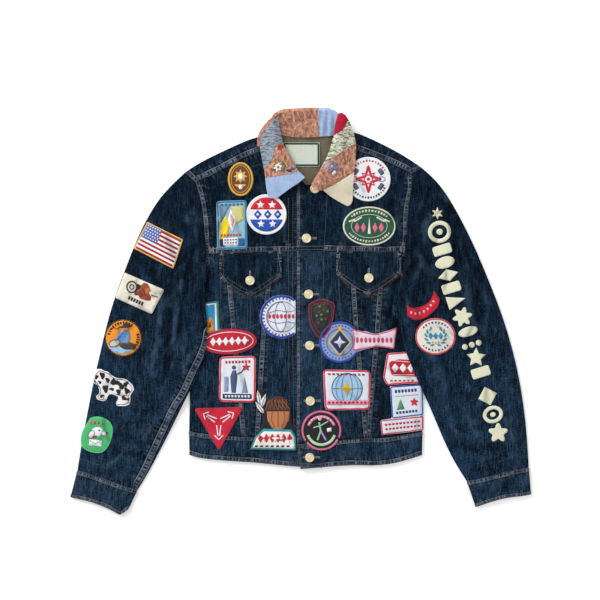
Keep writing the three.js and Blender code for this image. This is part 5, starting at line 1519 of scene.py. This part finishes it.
soft_piece("collar_back_quilted", 4, "peach", quilting(3, 15, 1.1), 1.1)
soft_piece("collar_back_chambray", 4, "chambray", rumple(4, 2.6, 14, 1.0))
soft_piece("collar_edge_peach", 3, "peach", quilting(5, 12, 0.7), 0.2)
soft_piece("collar_print_grey", 4, "grey_print", rumple(6, 4, 4, 0.5), 0.6)
soft_piece("collar_leaf_right_quilted", 4, "peach", quilting(8, 14, 0.8))
soft_piece("collar_tip_right_chambray", 4, "chambray", rumple(9, 9, 7, 0.6))
soft_piece("collar_leaf_left_red", 4, "red", rumple(10, 5, 5, 0.7))
soft_piece("collar_leaf_left_print", 4, "green_print", rumple(11, 4, 4, 0.6))
soft_piece("collar_leaf_left_quilted", 4, "peach", quilting(12, 15, 0.9))
soft_piece("collar_tip_left_cream", 4, "cream", rumple(13, 10, 8, 0.5))
soft_piece("neck_facing", 3, "khaki", rumple(14, 7, 7, 0.5))
soft_piece("neck_label", 3, "label", lambda P, z: (ripple(P, 12, 30, 15) * 0.3, np.zeros(len(P))))
COLLAR = [n for n in pieces if n.startswith("collar_")]
neck_ground = Ground(COLLAR + ["neck_label", "neck_facing"], 0)

# Label border, and appliqués on the collar.
trim_neck = Build()
LABEL = [(-30.5, 318.5), (33.5, 318.5), (33.5, 277.5), (-29.5, 277.5)]
LABEL_EDGE = thread((30, 70, 46))
stroke(trim_neck, LABEL, 3.6, Ground(["neck_label"], 3), lift=0.25, thick=0.5, mat=LABEL_EDGE, closed=True)


def flower(c, r, petals, colour, heart, lift=0.2):
    slab(trim_neck, wavy(c, r * 0.55, r, petals), neck_ground, lift, thick=0.6, mat=thread(colour), cell=2.5)
    slab(trim_neck, ellipse(c, r * 0.28), neck_ground, lift + 0.5, thick=0.4, mat=thread(heart), cell=1.5)


def leaf(c, l, w, turn, colour):
    slab(trim_neck, ellipse(c, l, w, turn), neck_ground, lift=0.2, thick=0.45, mat=thread(colour), cell=2.5)


flower((-40, 311), 6.5, 5, (176, 70, 56), (120, 40, 36))
flower((-43, 273), 9, 6, (226, 226, 224), (120, 120, 130))
flower((-50, 278), 5.5, 5, (206, 160, 80), (120, 90, 40))
for x, y, turn in ((-36, 268, 0.6), (-31, 273, 1.1), (-34, 281, 2.0), (-54, 269, 2.6)):
    leaf((x, y), 5, 2.2, turn, (90, 106, 60))
leaf((-16, 270), 6, 2.6, 0.4, (70, 96, 130))
leaf((-12, 276), 5, 3.0, 1.6, (140, 170, 190))
leaf((-22, 266), 6, 2.4, 2.9, (40, 50, 80))
for x, y in ((60, 281), (66, 278), (62, 271), (57, 266), (69, 271)):
    leaf((x, y), 4.6, 3.2, x * 0.4, (120, 122, 150))
leaf((50, 275), 6, 4.2, 0.6, (150, 162, 196))
flower((60, 274), 3.4, 5, (206, 200, 214), (80, 80, 110), 0.6)
leaf((63, 262), 5, 2.8, 0.7, (224, 226, 230))

# ---------------------------------------------------------------- stitches
stitches = Build()
TONE, PALE = thread((84, 88, 98)), thread((150, 146, 146))
# Below this height there is only the floor, and no stitch is made.
CLOTH_TOP = 2
# A stitch has a low end, a high middle and a low end; each is four points across.
STITCH_ENDS = 0.1
STITCH_SECTION = [(-1, None), (-0.6, 0), (0.6, 0), (1, None)]


def one_stitch(places, side, tall):
    """The points of one stitch through three places, each of x, y and height."""
    points = []
    for (x, y, z), rise in zip(places, (STITCH_ENDS, tall, STITCH_ENDS)):
        for across, top in STITCH_SECTION:
            points.append((x + side[0] * across, y + side[1] * across, z - 0.3 if top is None else z + rise))
    return points


def stitch_row(line, away, ground, mat, length=2.9, gap=1.3, width=0.9, tall=0.55, straight=False):
    """Stitches along a line moved to its left; straight joins its points without a curve."""
    q = resample(offset(resample(line, 2.0) if straight else curve(line, 2.0), away), length + gap)
    way, side = ways(q)
    a, b = q - way * length / 2, q + way * length / 2
    places = np.stack([np.c_[p, ground(p)] for p in (a, q, b)], axis=1)
    V, F = [], []
    for place, across in zip(places, side * width / 2):
        if place[1, 2] < CLOTH_TOP:
            continue
        k = len(V)
        V += one_stitch(place, across, tall)
        for s in (k, k + 4):
            for i, j in ((0, 1), (1, 2), (2, 3), (3, 0)):
                F.append([s + 4 + i, s + 4 + j, s + j, s + i])
        F += [[k, k + 1, k + 2, k + 3], [k + 11, k + 10, k + 9, k + 8]]
    if V:
        stitches.add(V, F, mat)


def seam_rows(seams, ground):
    """Two rows on each seam's band: one beside the seam, one near the band's far edge."""
    for line, band, _ in seams:
        for d in (1.6, abs(band) - 1.4):
            stitch_row(line, np.sign(band) * d, ground, TONE)


def thread_bar(lines, ground, width, gap=0.35, tall=0.5):
    """Close short stitches side by side, as at a buttonhole or a bar tack."""
    for line in lines:
        stitch_row(line, 0, ground, PALE, 1.0, gap, width, tall, straight=True)


seam_rows(BODY_SEAMS, body_ground)
seam_rows(SLEEVE_SEAMS, sleeve_ground)
for line in (FLAP_R, FLAP_L):
    for d in (1.8, 7.5):
        stitch_row(offset(resample(line, 2.0), d), 0, flap_ground, TONE, straight=True)
PLACKET_ROW = [(50, 218), (46, 150), (43, 80), (42, 0), (40, -80), (38, -160), (37, -244)]
stitch_row(PLACKET_ROW, 0, body_ground, TONE)
for x in (-23, -15):
    stitch_row([(x, 214), (x, 120)], 0, body_ground, TONE)
    stitch_row([(x, 110), (x, -60), (x + 2, -240)], 0, body_ground, TONE)
for line in ([(-152, 60), (-151, -30), (-148, -40)], [(-120, -28), (-106, -33), (-82, -24)],
             [(72, 60), (73, -6)], [(78, -12), (102, -24), (124, -33)]):
    stitch_row(line, 0, body_ground, TONE)
# Buttonholes: bars of thread beside each front button and above each flap button.
for x, y in ((11, 139), (15, 33), (17, -64), (18, -169), (17, -276)):
    thread_bar([[(x - 12, y + d), (x + 19, y + d)] for d in (-1.1, 1.1)], body_ground, 1.9)
for x, y in ((-96, 59), (129, 64)):
    thread_bar([[(x + d, y - 4), (x + d, y + 18)] for d in (-1.0, 1.0)], flap_ground, 1.7)
# Bar tacks where the yoke seam meets the armhole and at the flap corners.
for x, y in ((-172, 116), (-166, 116), (-159, 116), (-150, 114), (-40, 116), (190, 117), (196, 117),
             (70, 116)):
    thread_bar([[(x, y - 5), (x, y + 6)]], body_ground, 2.6, 0.4, 0.6)
# Seams of the collar: line, how far to its left, colour, and whether its corners are sharp.
COLLAR_ROWS = [
    ([(-69, 269), (-54, 287), (-47, 313), (-34, 319)], 1.5, (206, 200, 196), False),
    ([(-67, 253), (-39, 257), (-19, 260), (-4, 266)], 1.5, (206, 200, 196), False),
    ([(-67, 250), (-62, 231), (-57, 219), (-48, 216), (-20, 237), (0, 249)], 0, (160, 180, 214), True),
    ([(99, 260), (96, 238), (94, 212), (86, 204), (58, 220)], 0, (206, 192, 160), True),
    ([(43, 229), (71, 245), (101, 264)], 1.8, (160, 104, 84), False),
    ([(38, 271), (50, 286), (65, 293), (86, 309), (104, 319)], -1.8, (160, 104, 84), False),
]
for line, away, colour, straight in COLLAR_ROWS:
    stitch_row(line, away, neck_ground, thread(colour), 2.2, 1.2, 0.6, straight=straight)

# ---------------------------------------------------------------- buttons
METAL = metal_material()
# A button's section: radius and height, from under its middle, round its rim, to the middle of its top.
PROFILE = [(0, 0), (7.0, 0), (8.5, 0.9), (8.8, 1.8), (8.5, 2.9), (7.9, 3.4), (7.0, 3.3), (6.5, 2.8),
           (5.2, 2.75), (4.6, 3.15), (2.2, 3.3), (0, 3.35)]
AROUND = 48


def button(node):
    """The profile turned round the node's middle, a ring of points for each step of it but the ends."""
    lo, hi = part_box(node)
    x, y, z = (lo[0] + hi[0]) / 2 / MM, (lo[1] + hi[1]) / 2 / MM, lo[2] / MM
    rings = PROFILE[1:-1]
    V = [(x, y, z)]
    for r, h in rings:
        for a in np.arange(AROUND) * 2 * math.pi / AROUND:
            V.append((x + r * math.cos(a), y + r * math.sin(a), z + h))
    V.append((x, y, z + PROFILE[-1][1]))
    last = 1 + (len(rings) - 1) * AROUND
    F = []
    for k in range(AROUND):
        j = (k + 1) % AROUND
        F.append([0, 1 + j, 1 + k])
        for ring in range(1, last, AROUND):
            F.append([ring + k, ring + j, ring + AROUND + j, ring + AROUND + k])
        F.append([last + k, last + j, len(V) - 1])
    build = Build()
    build.add(V, F, METAL)
    build.make(node + "_metal", node, "button")


for place in ("front_2", "front_3", "front_4", "front_5", "front_6", "front_1", "flap_right", "flap_left"):
    button("button_" + place)

# ---------------------------------------------------------------- joined trims
trim_body.make("embroidery_body", None, "patch")
trim_sleeve.make("embroidery_sleeves", None, "patch")
trim_neck.make("applique_collar", None, "print_cloth")
stitches.make("stitching", None, "denim")


# ---------------------------------------------------------------- floor, light and camera
# Half the floor's width, and how far it lies below the cloth, in metres.
FLOOR, FLOOR_DROP = 12.0, 0.0005
me = bpy.data.meshes.new("floor")
me.from_pydata([(x, y, -FLOOR_DROP) for x, y in box((0, 0), FLOOR * 2, FLOOR * 2)], [], [(0, 1, 2, 3)])
me.materials.append(paper_material())
add_object("floor", me)

world = bpy.data.worlds.new("studio")
bpy.context.scene.world = world
world.use_nodes = True
background = world.node_tree.nodes["Background"]
background.inputs["Color"].default_value = (1, 1, 1, 1)
background.inputs["Strength"].default_value = 0.6


def light(name, place, power):
    """A round soft light, two metres wide, that looks at the middle of the jacket."""
    data = bpy.data.lights.new(name, "AREA")
    data.shape = "DISK"
    data.size = 2.0
    data.energy = power
    ob = add_object(name, data)
    ob.location = place
    ob.rotation_mode = "QUATERNION"
    ob.rotation_quaternion = (-Vector(place)).to_track_quat("-Z", "Y")


light("key", (-2.0, 1.9, 1.35), 104)
light("fill", (1.8, -1.0, 2.2), 14)

# The camera looks straight down at a square of plane WIDTH metres wide.
DISTANCE, WIDTH, SENSOR = 2.4, 1.140, 36
cam = bpy.data.cameras.new("camera")
cam.sensor_width = SENSOR
cam.lens = SENSOR * DISTANCE / WIDTH
camera = add_object("camera", cam)
camera.location = (-0.0014, 0.0219, DISTANCE)
bpy.context.scene.camera = camera
bpy.context.scene.view_settings.view_transform = "Standard"
